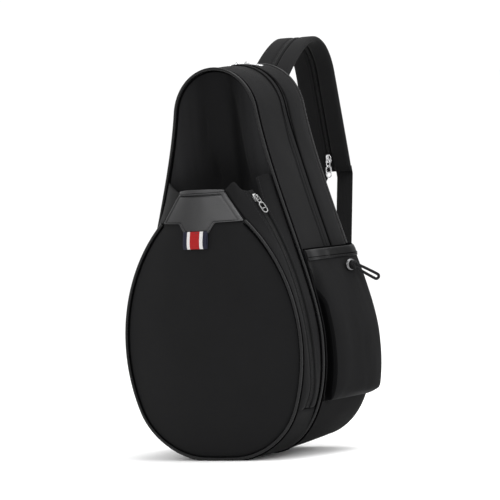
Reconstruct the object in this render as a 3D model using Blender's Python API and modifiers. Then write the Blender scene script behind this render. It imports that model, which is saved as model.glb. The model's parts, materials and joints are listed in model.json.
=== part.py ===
# Teardrop racket backpack: zipped main compartment with a piped front panel,
# an open-topped front pocket with a flank zip and a leather patch, two bottle
# pockets, and one wide strap of two zipped halves that ends in two webbings.
# Metres, +Z up, the front faces -Y, +X is the viewer's right seen from the front.
import math

import bmesh
import bpy
from mathutils import Matrix, Vector

for old in list(bpy.data.objects):
    bpy.data.objects.remove(old, do_unlink=True)

# ------------------------------------------------------------ driving sizes
BODY_HEIGHT = 0.4972
BODY_HALF_WIDTH = 0.1366
BODY_WIDEST_Z = 0.1536
BASE_FRONT = (0.045, 0.018, 0.85)   # the body's base seen from the front: half width
BASE_REAR = (0.045, 0.026, 0.80)    # of the flat, its height, roundness; it rises to the rear
ARCH_RADIUS = 0.0629         # top arch, a true circle
ARCH_FLARE = math.radians(9.05)
SIDE_HANDLE_LOW = 0.0693
SIDE_HANDLE_TOP = 0.1011
BODY_DEPTH = 0.100
POCKET_DEPTH = 0.042
Y_FRONT = -0.0934            # seam plane of the body's front panel
Y_BACK = Y_FRONT + BODY_DEPTH
SKIN = 0.0025                # cloth with lining
GAP = 0.0004                 # seam clearance between separate pieces
PIPING_R = 0.0021

POCKET_HALF_WIDTH = 0.133
POCKET_WIDEST_Z = 0.153
POCKET_FLANK_R = 0.210       # flank of the front panel, a circle up to the patch
POCKET_LOW_ANGLE = math.radians(-22.0)
PATCH_LOW_Z = 0.309          # lower edge of the leather patch
POCKET_MOUTH_Z = 0.3455
POCKET_MOUTH_HALF = 0.034
POCKET_BASE_Z = 0.0135       # lowest line of the bag, set on the ground at the end
POCKET_BASE_HALF = 0.020
POCKET_HANDLE = 0.040
POCKET_CROWN = 0.022         # the filled pocket stands out this far in the middle

PZIP_R = 0.360               # flank zip, a true circle about Y above its foot
PZIP_X, PZIP_Z = 0.1318 - 0.360, 0.128
PZIP_FOOT_Z, PZIP_FOOT_CURL = 0.110, 7.0
PZIP_TOP_Z = 0.3455
PZIP_TILT = math.radians(20.0)
STRIP_TOP_Z = 0.365          # where the flank's rear strip meets the body seam

ZIP_Y = Y_FRONT + 0.0634     # middle of the main zip
ZIP_GAP = 0.0100             # open slot between the two gusset strips
COIL_W = 0.0046

SIDE_Z0, SIDE_Z1 = 0.080, 0.266
SIDE_Y0, SIDE_Y1 = Y_FRONT + 0.003, Y_BACK - 0.003
SIDE_BULGE_LOW, SIDE_BULGE_TOP = 0.0275, 0.0175
SIDE_PEAK = 0.85             # the pocket stands out most near its rear edge

STRAP_HALF = 0.0295
STRAP_SLOT = 0.0042
STRAP_T = 0.008
STRAP_LOW = (0.1495, 0.3523)  # (behind the back panel, height)
STRAP_BEND = (0.1260, 0.479)

WEB_W, WEB_T = 0.0235, 0.0016
CORD_R = 0.0018
LOOP_LEN, LOOP_R = 0.0285, 0.0031   # reach of the loop and radius of its round end

ARCH_Z = BODY_HEIGHT - ARCH_RADIUS
POCKET_CX = POCKET_HALF_WIDTH - POCKET_FLANK_R

# ------------------------------------------------------------ collections
parts = bpy.data.collections.new("racket_backpack")
cutters = bpy.data.collections.new("cutters")
bpy.context.scene.collection.children.link(parts)
bpy.context.scene.collection.children.link(cutters)

COLOURS = {
    "cloth": (0.030, 0.030, 0.034, 0.85), "lining": (0.020, 0.020, 0.022, 0.9),
    "leather": (0.060, 0.060, 0.064, 0.55), "piping": (0.022, 0.022, 0.025, 0.35),
    "tape": (0.018, 0.018, 0.020, 0.8), "metal": (0.72, 0.72, 0.74, 0.25),
    "webbing": (0.022, 0.022, 0.025, 0.75), "ribbon": (0.55, 0.06, 0.08, 0.6),
    "cord": (0.016, 0.016, 0.018, 0.7), "plastic": (0.020, 0.020, 0.022, 0.45),
    "board": (0.10, 0.10, 0.11, 0.6),
}


def finish(ob, kind):
    r, g, b, rough = COLOURS[kind]
    mat = bpy.data.materials.new(ob.name)
    mat.use_nodes = True
    bsdf = mat.node_tree.nodes["Principled BSDF"]
    bsdf.inputs["Base Color"].default_value = (r, g, b, 1.0)
    bsdf.inputs["Roughness"].default_value = rough
    bsdf.inputs["Metallic"].default_value = 1.0 if kind == "metal" else 0.0
    ob.data.materials.append(mat)
    return ob


def made(name, bm, kind, origin=(0, 0, 0), coll=None):
    # turns world-space geometry into an object with its origin at a given point
    origin = Vector(origin)
    bmesh.ops.translate(bm, verts=bm.verts, vec=-origin)
    bmesh.ops.recalc_face_normals(bm, faces=bm.faces)
    me = bpy.data.meshes.new(name)
    bm.to_mesh(me)
    bm.free()
    ob = bpy.data.objects.new(name, me)
    ob.location = origin
    (coll or parts).objects.link(ob)
    return finish(ob, kind) if kind else ob


def sheet(name, rows, thickness, kind):
    # open surface through rows of points, thickened equally to both sides
    bm = bmesh.new()
    grid = [[bm.verts.new(v) for v in row] for row in rows]
    for a, b in zip(grid, grid[1:]):
        for i in range(len(a) - 1):
            bm.faces.new((a[i], a[i + 1], b[i + 1], b[i]))
    ob = made(name, bm, kind)
    mod = ob.modifiers.new("thickness", "SOLIDIFY")
    mod.thickness = thickness
    mod.offset = 0.0
    mod.use_even_offset = True
    mod.use_quality_normals = True
    return ob


# ------------------------------------------------------------ plane outlines
def bezier(p0, p1, p2, p3, n):
    out = []
    for i in range(n):
        t = i / n
        a, b, c, d = (1 - t) ** 3, 3 * t * (1 - t) ** 2, 3 * t * t * (1 - t), t ** 3
        out.append(tuple(a * q0 + b * q1 + c * q2 + d * q3
                         for q0, q1, q2, q3 in zip(p0, p1, p2, p3)))
    return out


def base_right(flat, height, roundness):
    # base corner, then a rounded quarter up to the widest point
    low = []
    for i in range(9):
        a = 0.5 * math.pi * i / 9
        low.append((flat + (BODY_HALF_WIDTH - flat) * math.sin(a),
                    height + (BODY_WIDEST_Z - height) * (1 - math.cos(a) ** roundness)))
    return low


def body_right():
    # side from the widest point up, then the arch to top centre
    end = (ARCH_RADIUS * math.cos(ARCH_FLARE), ARCH_Z + ARCH_RADIUS * math.sin(ARCH_FLARE))
    start = (BODY_HALF_WIDTH, BODY_WIDEST_Z)
    side = bezier(start, (start[0], start[1] + SIDE_HANDLE_LOW),
                  (end[0] + SIDE_HANDLE_TOP * math.sin(ARCH_FLARE),
                   end[1] - SIDE_HANDLE_TOP * math.cos(ARCH_FLARE)), end, 9)
    arch = []
    for i in range(11):
        a = ARCH_FLARE + (0.5 * math.pi - ARCH_FLARE) * i / 10
        arch.append((ARCH_RADIUS * math.cos(a), ARCH_Z + ARCH_RADIUS * math.sin(a)))
    return side, arch


def mirrored(pts, drop_first=True):
    out = [(-x, z) for x, z in reversed(pts)]
    return out[1:] if drop_first else out


LOW, LOW_REAR = base_right(*BASE_FRONT), base_right(*BASE_REAR)
SIDE, ARCH = body_right()
UPPER = SIDE + ARCH
UPPER = UPPER + mirrored(UPPER)                       # right over the top to left
end = [(BODY_HALF_WIDTH, BODY_WIDEST_Z - GAP)]
LOWER = mirrored(LOW + end, False) + LOW + end        # left under the base to right
LOWER_REAR = mirrored(LOW_REAR + end, False) + LOW_REAR + end
RING = LOW + UPPER + mirrored(LOW, False)
RING_REAR = LOW_REAR + UPPER + mirrored(LOW_REAR, False)


def pocket_right():
    a0, a1 = POCKET_LOW_ANGLE, math.asin((PATCH_LOW_Z - POCKET_WIDEST_Z) / POCKET_FLANK_R)
    flank = [(POCKET_CX + POCKET_FLANK_R * math.cos(a0 + (a1 - a0) * i / 13),
              POCKET_WIDEST_Z + POCKET_FLANK_R * math.sin(a0 + (a1 - a0) * i / 13))
             for i in range(14)]
    e, f = flank[0], flank[-1]
    for t in (0.5, 1.0):     # straight edge beside the patch
        flank.append((f[0] + (POCKET_MOUTH_HALF - f[0]) * t, f[1] + (POCKET_MOUTH_Z - f[1]) * t))
    low = bezier((POCKET_BASE_HALF, POCKET_BASE_Z), (POCKET_BASE_HALF + POCKET_HANDLE, POCKET_BASE_Z),
                 (e[0] - POCKET_HANDLE * math.sin(-a0), e[1] - POCKET_HANDLE * math.cos(a0)), e, 9)
    return low, flank


P_LOW, P_FLANK = pocket_right()
cut = (P_FLANK[0][0] - GAP * math.sin(-POCKET_LOW_ANGLE), P_FLANK[0][1] - GAP * math.cos(POCKET_LOW_ANGLE))
P_BASE = mirrored(P_LOW + [cut], False) + P_LOW + [cut]
P_RING = P_LOW + P_FLANK + mirrored(P_LOW + P_FLANK, False)
P_OPEN = mirrored(P_LOW + P_FLANK[:14], False) + P_LOW + P_FLANK[:14]   # patch corner to patch corner


def half_width(z):
    # of the body at a height, the wider of its front and rear outlines
    wide = 0.0
    for pts in (LOW + SIDE + ARCH, LOW_REAR + SIDE + ARCH):
        for (xa, za), (xb, zb) in zip(pts, pts[1:]):
            if za <= z <= zb:
                wide = max(wide, xa + (xb - xa) * (z - za) / (zb - za))
    return wide


def offset(pts, d, closed):
    # moves a counter-clockwise outline inwards by d, with mitred corners
    n = len(pts)
    out = []
    for i in range(n):
        normals = []
        for j, k in ((i - 1, i), (i, i + 1)):
            if not closed and (j < 0 or k >= n):
                continue
            ax, az = pts[j % n]
            bx, bz = pts[k % n]
            ln = math.hypot(bx - ax, bz - az)
            normals.append((-(bz - az) / ln, (bx - ax) / ln))
        if len(normals) == 1:
            m = normals[0]
        else:
            (ux, uz), (vx, vz) = normals
            s = 1 + ux * vx + uz * vz
            m = ((ux + vx) / s, (uz + vz) / s)
        out.append((pts[i][0] + d * m[0], pts[i][1] + d * m[1]))
    return out


def band(name, pts, d_out, d_in, y0, y1, kind):
    # strip between two offsets of an outline in the XZ plane, from y0 to y1
    mid = offset(pts, 0.5 * (d_out + d_in), False)
    return sheet(name, [[(x, y0, z), (x, y1, z)] for x, z in mid], d_in - d_out, kind)


def plate(name, pts, y0, y1, kind):
    # flat outline in the XZ plane
    cu = bpy.data.curves.new(name, "CURVE")
    cu.dimensions = "2D"
    cu.fill_mode = "BOTH"
    cu.extrude = 0.5 * (y1 - y0)
    sp = cu.splines.new("POLY")
    sp.points.add(len(pts) - 1)
    for p, (x, z) in zip(sp.points, pts):
        p.co = (x, z, 0.0, 1.0)
    sp.use_cyclic_u = True
    ob = bpy.data.objects.new(name, cu)
    ob.location = (0.0, 0.5 * (y0 + y1), 0.0)
    ob.rotation_euler = (0.5 * math.pi, 0.0, 0.0)
    parts.objects.link(ob)
    return finish(ob, kind)


def tube(name, pts, radius, kind, closed=False, sides=0):
    cu = bpy.data.curves.new(name, "CURVE")
    cu.dimensions = "3D"
    cu.bevel_depth = radius
    cu.bevel_resolution = sides
    cu.use_fill_caps = not closed
    sp = cu.splines.new("POLY")
    sp.points.add(len(pts) - 1)
    for p, v in zip(sp.points, pts):
        p.co = (v[0], v[1], v[2], 1.0)
    sp.use_cyclic_u = closed
    ob = bpy.data.objects.new(name, cu)
    parts.objects.link(ob)
    return finish(ob, kind)


def box(name, size, frame, kind, origin=None, coll=None):
    bm = bmesh.new()
    bmesh.ops.create_cube(bm, size=1.0, matrix=frame @ Matrix.Diagonal((*size, 1.0)))
    return made(name, bm, kind, frame.translation if origin is None else origin, coll)


def stadium(width, length, n=4):
    # outline of a rounded bar along local x, from x = 0 to x = length
    r = 0.5 * width
    pts = [(length - r + r * math.cos(a), r * math.sin(a))
           for a in (-0.5 * math.pi + math.pi * i / n for i in range(n + 1))]
    pts += [(r - r * math.cos(a), -r * math.sin(a))
            for a in (-0.5 * math.pi + math.pi * i / n for i in range(n + 1))]
    return pts


def bar(name, pts, x0, t, frame, kind, origin, coll=None):
    # outline in the local XY plane, drawn out to a thickness t
    bm = bmesh.new()
    face = bm.faces.new([bm.verts.new(frame @ Vector((x0 + x, y, -0.5 * t))) for x, y in pts])
    drawn = bmesh.ops.extrude_face_region(bm, geom=[face], use_keep_orig=True)
    moved = [v for v in drawn["geom"] if isinstance(v, bmesh.types.BMVert)]
    bmesh.ops.translate(bm, verts=moved, vec=frame.to_3x3() @ Vector((0, 0, t)))
    return made(name, bm, kind, origin, coll)


def boolean(ob, cutter, op):
    mod = ob.modifiers.new(op.lower(), "BOOLEAN")
    mod.operation = op
    mod.solver = "EXACT"
    mod.object = cutter
    cutter.hide_render = True
    cutter.display_type = "WIRE"


# ------------------------------------------------------------ body
band("gusset_front", UPPER, 0.0, SKIN, Y_FRONT, ZIP_Y - 0.5 * ZIP_GAP, "cloth")
band("gusset_rear", UPPER, 0.0, SKIN, ZIP_Y + 0.5 * ZIP_GAP, Y_BACK - GAP, "cloth")
sheet("gusset_base", [[(a, Y_FRONT, b), (c, Y_BACK - GAP, d)] for (a, b), (c, d)
                      in zip(offset(LOWER, 0.5 * SKIN, False), offset(LOWER_REAR, 0.5 * SKIN, False))], SKIN, "cloth")
band("zip_flap", UPPER, -0.0016, -GAP, ZIP_Y - 0.5 * ZIP_GAP - 0.0082, ZIP_Y - 0.5 * ZIP_GAP + 0.0012, "cloth")
band("main_zip_tape_front", UPPER, SKIN + GAP, SKIN + GAP + 0.001, ZIP_Y - 0.0085, ZIP_Y - 0.0003, "tape")
band("main_zip_tape_rear", UPPER, SKIN + GAP, SKIN + GAP + 0.001, ZIP_Y + 0.0003, ZIP_Y + 0.0085, "tape")
band("main_zip_coil", UPPER, 0.0009, SKIN, ZIP_Y - 0.5 * COIL_W, ZIP_Y + 0.5 * COIL_W, "tape")
plate("front_panel", offset(RING, SKIN + 0.0009, True), Y_FRONT, Y_FRONT + 0.003, "cloth")
plate("back_panel", offset(RING_REAR, SKIN + 0.0009, True), Y_BACK - 0.0060, Y_BACK - GAP, "cloth")
plate("back_stiffener", offset(RING_REAR, SKIN + 0.005, True), Y_BACK - 0.0084, Y_BACK - 0.0064, "board")
rise = math.atan2(BASE_REAR[1] - BASE_FRONT[1], BODY_DEPTH)
box("base_board", (2 * BASE_FRONT[0] - 0.012, BODY_DEPTH - 0.020, 0.0016),
    Matrix.Translation((0, 0.5 * (Y_FRONT + Y_BACK) - 0.002, 0.5 * (BASE_FRONT[1] + BASE_REAR[1]) + SKIN + 0.0018))
    @ Matrix.Rotation(rise, 4, "X"), "board")
tube("body_front_piping", [(x, Y_FRONT - PIPING_R - GAP, z + 0.0009) for x, z in offset(RING, 0.5 * SKIN, True)], PIPING_R, "piping", True)
tube("body_rear_piping", [(x, Y_BACK + PIPING_R, z + 0.0009) for x, z in offset(RING_REAR, 0.5 * SKIN, True)], PIPING_R, "piping", True)

# ------------------------------------------------------------ front pocket
Y_POCKET = Y_FRONT - POCKET_DEPTH
Y_ROOT = Y_FRONT - 2 * PIPING_R - 2 * GAP - 0.0004
PZIP_Y = 0.5 * (Y_POCKET + Y_ROOT)


def crown(x, z):
    # how far the filled pocket's front stands out at a point of its outline's plane
    half = 0.0
    pts = P_LOW + P_FLANK
    for (xa, za), (xb, zb) in zip(pts, pts[1:]):
        if za <= z <= zb:
            half = xa + (xb - xa) * (z - za) / (zb - za)
    across = 1 - min(1.0, abs(x) / max(half, POCKET_BASE_HALF)) ** 2
    if z < POCKET_WIDEST_Z:
        tall = max(0.0, 1 - ((POCKET_WIDEST_Z - z) / (POCKET_WIDEST_Z - POCKET_BASE_Z)) ** 2) ** 0.7
    else:
        tall = 1 - 0.40 * max(0.0, (z - 0.240) / (POCKET_MOUTH_Z - 0.240)) ** 2
    return POCKET_CROWN * across * tall


edge = offset(P_RING, SKIN + 0.0034, True)[:len(P_LOW) + len(P_FLANK)]
sheet("pocket_front_panel", [[(x * t, Y_POCKET + 0.0016 - crown(x * t, z), z) for t in (-1, -0.8, -0.55, -0.28, 0, 0.28, 0.55, 0.8, 1)]
                             for x, z in edge], 0.0025, "cloth")
band("pocket_gusset_base", P_BASE, 0.0, SKIN, Y_POCKET, Y_ROOT, "cloth")


def along(pts, t):
    # point at a fraction of a polyline's length
    lens = [math.hypot(b[0] - a[0], b[1] - a[1]) for a, b in zip(pts, pts[1:])]
    want = t * sum(lens)
    for (a, b), ln in zip(zip(pts, pts[1:]), lens):
        if want <= ln + 1e-9:
            return tuple(p + (q - p) * want / ln for p, q in zip(a, b))
        want -= ln
    return pts[-1]


def strip(name, rail_a, rail_c, lo, hi, kind):
    # ruled strip between two rails; lo and hi are depths under its outer face
    rows = []
    n = len(rail_a)
    for i in range(n):
        run = 0.5 * (rail_a[min(i + 1, n - 1)] + rail_c[min(i + 1, n - 1)]) - 0.5 * (rail_a[max(i - 1, 0)] + rail_c[max(i - 1, 0)])
        inward = run.cross(rail_c[i] - rail_a[i]).normalized()
        if inward.x * rail_a[i].x > 0:
            inward = -inward
        sink = inward * 0.5 * (lo + hi)
        rows.append([rail_a[i] + sink, rail_c[i] + sink])
    return sheet(name, rows, hi - lo, kind)


# rails of the flank: front panel's edge, two edges of the zip slot, body seam
def flank_rails(n=15):
    body = [p for p in offset(LOW + SIDE + ARCH, 0.0048, False)]
    body = [(along(body, k / 200)) for k in range(201)]
    body = [p for p in body if P_FLANK[0][1] + 0.0022 <= p[1] <= STRIP_TOP_Z]
    z0, z1 = math.asin((P_FLANK[0][1] + 0.001 - PZIP_Z) / PZIP_R), math.asin((PZIP_TOP_Z - PZIP_Z) / PZIP_R)
    front, slot, seam = [], [], []
    for i in range(n):
        t = i / (n - 1)
        a = z0 + (z1 - z0) * t
        x, z = along(P_FLANK, t)
        front.append(Vector((x, Y_POCKET, z)))
        zip_z = PZIP_Z + PZIP_R * math.sin(a)
        curl = PZIP_FOOT_CURL * max(0.0, PZIP_FOOT_Z - zip_z) ** 2
        slot.append((a, Vector((PZIP_X + PZIP_R * math.cos(a) - curl, PZIP_Y, zip_z))))
        x, z = along(body, t)
        seam.append(Vector((x, Y_FRONT - 0.0034, z)))
    return front, slot, seam


def beside(slot, d):
    # rail at a distance d across the zip; the slot leans by a constant angle
    return [p + d * Vector((math.sin(PZIP_TILT) * math.cos(a), math.cos(PZIP_TILT), math.sin(PZIP_TILT) * math.sin(a)))
            for a, p in slot]


FRONT, SLOT, SEAM = flank_rails()
strip("pocket_gusset_front", FRONT, beside(SLOT, -0.0050), 0.0, SKIN, "cloth")
strip("pocket_gusset_rear", beside(SLOT, 0.0050), SEAM, 0.0, SKIN, "cloth")
strip("pocket_zip_tape", beside(SLOT, -0.0033), beside(SLOT, 0.0033), SKIN + GAP, SKIN + GAP + 0.001, "tape")
strip("pocket_zip_coil", beside(SLOT, -0.5 * COIL_W), beside(SLOT, 0.5 * COIL_W), 0.0009, SKIN, "tape")
other = [[Vector((-p.x, p.y, p.z)) for p in rail] for rail in (FRONT, SEAM)]
strip("pocket_gusset_left", other[0], other[1], 0.0, SKIN, "cloth")
tube("pocket_piping", [(x, Y_POCKET - PIPING_R - GAP, z + 0.0009) for x, z in offset(P_OPEN, 0.5 * SKIN, False)],
     PIPING_R, "piping")

TAB_LOW, TAB_HALF = 0.296, 0.0178
corner = P_FLANK[13][0] - 0.0060


def patch_edges(x):
    # lower and upper edge of the leather patch, with a drop tab in the middle
    x = abs(x)
    low = PATCH_LOW_Z - (PATCH_LOW_Z - TAB_LOW) * min(1.0, max(0.0, (TAB_HALF + 0.009 - x) / 0.009))
    top = POCKET_MOUTH_Z - (POCKET_MOUTH_Z - PATCH_LOW_Z - 0.0012) * max(0.0, (x - 0.0334) / (corner - 0.0334))
    return low, top


columns = [corner, 0.0500, 0.0334, TAB_HALF + 0.009, TAB_HALF, 0.0090]
rows = []
for x in [-c for c in columns] + [0.0] + columns[::-1]:
    low, top = patch_edges(x)
    heights = [low + (top - low) * k / 5 for k in range(6)]
    rows.append([(x, Y_POCKET - 0.0016 - crown(x, z), z) for z in heights])
sheet("leather_patch", rows, 0.0012, "leather")
tube("mouth_binding", [(x, Y_POCKET - 0.0002 - crown(x, POCKET_MOUTH_Z), POCKET_MOUTH_Z + 0.0036)
                       for x in (-0.031, -0.024, -0.016, -0.008, 0.0, 0.008, 0.016, 0.024, 0.031)], 0.0028, "leather", False, 2)
lean = math.atan2(crown(0, TAB_LOW - 0.019) - crown(0, TAB_LOW), 0.019)
box("ribbon_loop", (0.035, 0.0022, 0.0188), Matrix.Translation((0, Y_POCKET - 0.0024 - crown(0, TAB_LOW - 0.0102), TAB_LOW - 0.0102))
    @ Matrix.Rotation(-lean, 4, "X"), "ribbon")


# ------------------------------------------------------------ bottle pockets
def pocket_out(u, z):
    v = (z - SIDE_Z0) / (SIDE_Z1 - SIDE_Z0)
    rise = min(1.0, v / 0.05) ** 0.5 * (SIDE_BULGE_LOW + (SIDE_BULGE_TOP - SIDE_BULGE_LOW) * v)
    if u < SIDE_PEAK:
        across = 0.5 - 0.5 * math.cos(math.pi * u / SIDE_PEAK)
    else:
        across = math.cos(0.5 * math.pi * (u - SIDE_PEAK) / (1 - SIDE_PEAK)) ** 0.6
    return half_width(z) + GAP + 0.0004 + rise * max(0.0, across)


def shell(name, sign, zs, us, lo, hi, kind):
    # bellied wall, drawn out sideways so that its seam edges stay against the body
    bm = bmesh.new()
    grid = [[bm.verts.new((sign * (pocket_out(u, z) + lo), SIDE_Y0 + (SIDE_Y1 - SIDE_Y0) * u, z)) for u in us] for z in zs]
    for a, b in zip(grid, grid[1:]):
        for i in range(len(us) - 1):
            bm.faces.new((a[i], a[i + 1], b[i + 1], b[i]))
    drawn = bmesh.ops.extrude_face_region(bm, geom=bm.faces[:], use_keep_orig=True)
    moved = [v for v in drawn["geom"] if isinstance(v, bmesh.types.BMVert)]
    bmesh.ops.translate(bm, verts=moved, vec=Vector((sign * (hi - lo), 0, 0)))
    return made(name, bm, kind)


US = [SIDE_PEAK * i / 7 for i in range(8)] + [0.91, 0.96, 0.987, 1.0]
ZS = [SIDE_Z0, SIDE_Z0 + 0.003, SIDE_Z0 + 0.009]
ZS += [z for x, z in LOW + SIDE if SIDE_Z0 + 0.012 < z < SIDE_Z1 - 0.006] + [SIDE_Z1]
EYE_U, EYE_Z = 0.65, SIDE_Z1 - 0.0225
for side, sign in (("right", 1), ("left", -1)):
    shell("side_pocket_" + side, sign, ZS, US, 0.0, 0.0020, "cloth")
    shell("side_binding_" + side, sign, [SIDE_Z1 - 0.012, SIDE_Z1 - 0.006, SIDE_Z1 + 0.0004], US, 0.0024, 0.0038, "leather")
    e = 0.01
    dy = e * (SIDE_Y1 - SIDE_Y0)
    normal = Vector((1.0, -(pocket_out(EYE_U + e, EYE_Z) - pocket_out(EYE_U - e, EYE_Z)) / (2 * dy), 0)).normalized()
    seat = Vector((pocket_out(EYE_U, EYE_Z) + 0.0020, SIDE_Y0 + (SIDE_Y1 - SIDE_Y0) * EYE_U, EYE_Z))
    flip = Matrix.Diagonal((sign, 1, 1)).to_3x3()
    n3, at = flip @ normal, flip @ (seat + normal * 0.0040)
    bpy.ops.mesh.primitive_torus_add(major_radius=0.0062, minor_radius=0.0015, major_segments=16, minor_segments=6,
                                     location=at, rotation=n3.to_track_quat("Z", "Y").to_euler())
    ring = bpy.context.active_object
    ring.name = "eyelet_" + side
    for c in list(ring.users_collection):
        c.objects.unlink(ring)
    parts.objects.link(ring)
    finish(ring, "metal")
    knot_at = flip @ (seat + normal * 0.0060)
    bpy.ops.mesh.primitive_uv_sphere_add(segments=10, ring_count=6, radius=0.0039, location=knot_at)
    knot = bpy.context.active_object
    knot.name = "cord_knot_" + side
    for c in list(knot.users_collection):
        c.objects.unlink(knot)
    parts.objects.link(knot)
    finish(knot, "cord")
    # elongated loop of elastic cord that stands out of the knot
    d3 = flip @ Vector((0.60, 0.60, -0.53)).normalized()
    w3 = d3.cross(flip @ Vector((0.574, -0.819, 0.0))).normalized()
    start = knot_at + d3 * 0.0064
    straight = LOOP_LEN - LOOP_R
    leg = [(straight * t, LOOP_R - 0.0008 * (1 - t) ** 2) for t in (0.0, 0.25, 0.5, 0.75)]
    tip = [(straight + LOOP_R * math.sin(math.pi * i / 8), LOOP_R * math.cos(math.pi * i / 8)) for i in range(9)]
    plan = leg + tip + [(reach, -half) for reach, half in reversed(leg)]
    tube("cord_" + side, [start + d3 * reach + w3 * half for reach, half in plan], CORD_R, "cord", False, 2)


# ------------------------------------------------------------ strap
def strap_path():
    # (behind the back panel, height): root, hump over the shoulder, straight fall
    hump = bezier((0.0082, 0.466), (0.0180, 0.478), (0.0520, 0.5150), (0.0815, 0.5240), 7)
    bow = bezier((0.0815, 0.5240), (0.1020, 0.5300), (0.1205, 0.5105), STRAP_BEND, 6)
    fall = [tuple(a + (b - a) * t for a, b in zip(STRAP_BEND, STRAP_LOW)) for t in (0.0, 0.34, 0.67, 1.0)]
    return [(Y_BACK + y, z) for y, z in hump + bow + fall]


PATH = strap_path()
for side, x0, x1 in (("right", STRAP_SLOT, STRAP_HALF), ("left", -STRAP_HALF, -STRAP_SLOT)):
    sheet("strap_pad_" + side, [[(x0, y, z), (x1, y, z)] for y, z in PATH], STRAP_T, "cloth")
sheet("strap_zip_tape", [[(x, y, z) for x in (GAP - STRAP_SLOT, STRAP_SLOT - GAP)] for y, z in PATH], 0.002, "tape")
box("strap_root", (2 * STRAP_HALF + 0.006, 0.0026, 0.040), Matrix.Translation((0, Y_BACK + 0.0017, 0.4440)), "cloth")

fall = Vector((0, STRAP_LOW[0] - STRAP_BEND[0], STRAP_LOW[1] - STRAP_BEND[1])).normalized()
for side, sign in (("right", 1), ("left", -1)):
    top = Vector((sign * 0.0185, Y_BACK + 0.1500, 0.3468))
    foot = Vector((sign * 0.0845, Y_BACK + 0.0085, 0.0950))
    u = (foot - top).normalized()
    v = (Vector((sign, 0, 0)) - u * u.x * sign).normalized()
    n = u.cross(v)
    turn = Matrix((v, n, u)).transposed().to_4x4()
    box("webbing_" + side, (WEB_W, WEB_T, (foot - top).length), Matrix.Translation(0.5 * (top + foot)) @ turn, "webbing")
    box("anchor_tab_" + side, (0.034, 0.0030, 0.036), Matrix.Translation((sign * 0.0845, Y_BACK + 0.0019, 0.0760)), "webbing")
    at = top + u * 0.70 * (foot - top).length
    frame = Matrix.Translation(at) @ turn
    lock = box("adjuster_" + side, (0.0335, 0.0062, 0.0220), frame, "plastic", at)
    slot = box("slot_" + side, (0.0247, 0.0030, 0.0400), frame, None, at, cutters)
    boolean(lock, slot, "DIFFERENCE")


# ------------------------------------------------------------ zip sliders and pulls
def zip_slider(name, frame, axis_at, lie):
    # frame: local x along the zip, local z out of the cloth, origin on the coil's top
    body = box(name + "_slider", (0.0110, 0.0076, 0.0030), frame @ Matrix.Translation((0, 0, 0.0015)), "metal", axis_at)
    bridge = box(name + "_bridge", (0.0066, 0.0020, 0.0050), frame @ Matrix.Translation((0, 0, 0.0045)), None, None, cutters)
    tunnel = box(name + "_tunnel", (0.0038, 0.0060, 0.0030), frame @ Matrix.Translation((0, 0, 0.0045)), None, None, cutters)
    boolean(body, bridge, "UNION")
    boolean(body, tunnel, "DIFFERENCE")
    pivot = frame @ Matrix.Translation((0, 0, 0.0042))
    swing = pivot @ Matrix.Rotation(lie, 4, "Y")
    at = pivot.translation.copy()
    pull = bar(name + "_pull", stadium(0.0084, 0.0250), -0.0007, 0.0014, swing, "metal", at)
    eye = bar(name + "_eye", stadium(0.0034, 0.0080, 6), 0.0007, 0.006, swing, None, at, cutters)
    grip = bar(name + "_grip", stadium(0.0050, 0.0120), 0.0106, 0.006, swing, None, at, cutters)
    boolean(pull, eye, "DIFFERENCE")
    boolean(pull, grip, "DIFFERENCE")


def on_arc(cx, cz, radius, angle, y, down):
    # frame on a circle about Y; local x runs down the flank when down is 1
    out = Vector((math.cos(angle), 0, math.sin(angle)))
    run = Vector((math.sin(angle), 0, -math.cos(angle))) * down
    side = out.cross(run)
    m = Matrix((run, side, out)).transposed().to_4x4()
    return Matrix.Translation(Vector((cx, y, cz)) + out * (radius - 0.0004)) @ m


for name, sign in (("main_zip_right", 1), ("main_zip_left", -1)):
    a = math.radians(90 - 6.2 * sign)
    zip_slider(name, on_arc(0, ARCH_Z, ARCH_RADIUS, a, ZIP_Y, sign), (0, ZIP_Y, ARCH_Z), math.radians(4))
a = math.radians(35.2)
out = Vector((math.cos(a), 0, math.sin(a)))
run = Vector((math.sin(a), 0, -math.cos(a)))
lean = (out * math.cos(PZIP_TILT) - Vector((0, 1, 0)) * math.sin(PZIP_TILT)).normalized()
m = Matrix((run, lean.cross(run), lean)).transposed().to_4x4()
frame = Matrix.Translation(Vector((PZIP_X, PZIP_Y, PZIP_Z)) + out * PZIP_R - lean * 0.0004) @ m
zip_slider("pocket_zip", frame, (PZIP_X, PZIP_Y, PZIP_Z), math.radians(2))
low = Vector((0, Y_BACK + STRAP_LOW[0], STRAP_LOW[1])) - fall * 0.018
face = Vector((0, fall.z, -fall.y)).normalized()      # towards the bag
m = Matrix((fall, face.cross(fall), face)).transposed().to_4x4()
frame = Matrix.Translation(low + face * 0.0014) @ m
zip_slider("strap_zip", frame, low, math.atan2(fall.y, -fall.z) * -1)

# the pocket's base rests on the ground plane
ground = bpy.data.objects.new("ground", None)
ground.location = (0.0, 0.0, -POCKET_BASE_Z)
bpy.context.scene.collection.objects.link(ground)
for ob in list(parts.objects) + list(cutters.objects):
    ob.parent = ground
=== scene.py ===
import json
import math

import bmesh
import bpy
from mathutils import Matrix, Vector, noise

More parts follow.
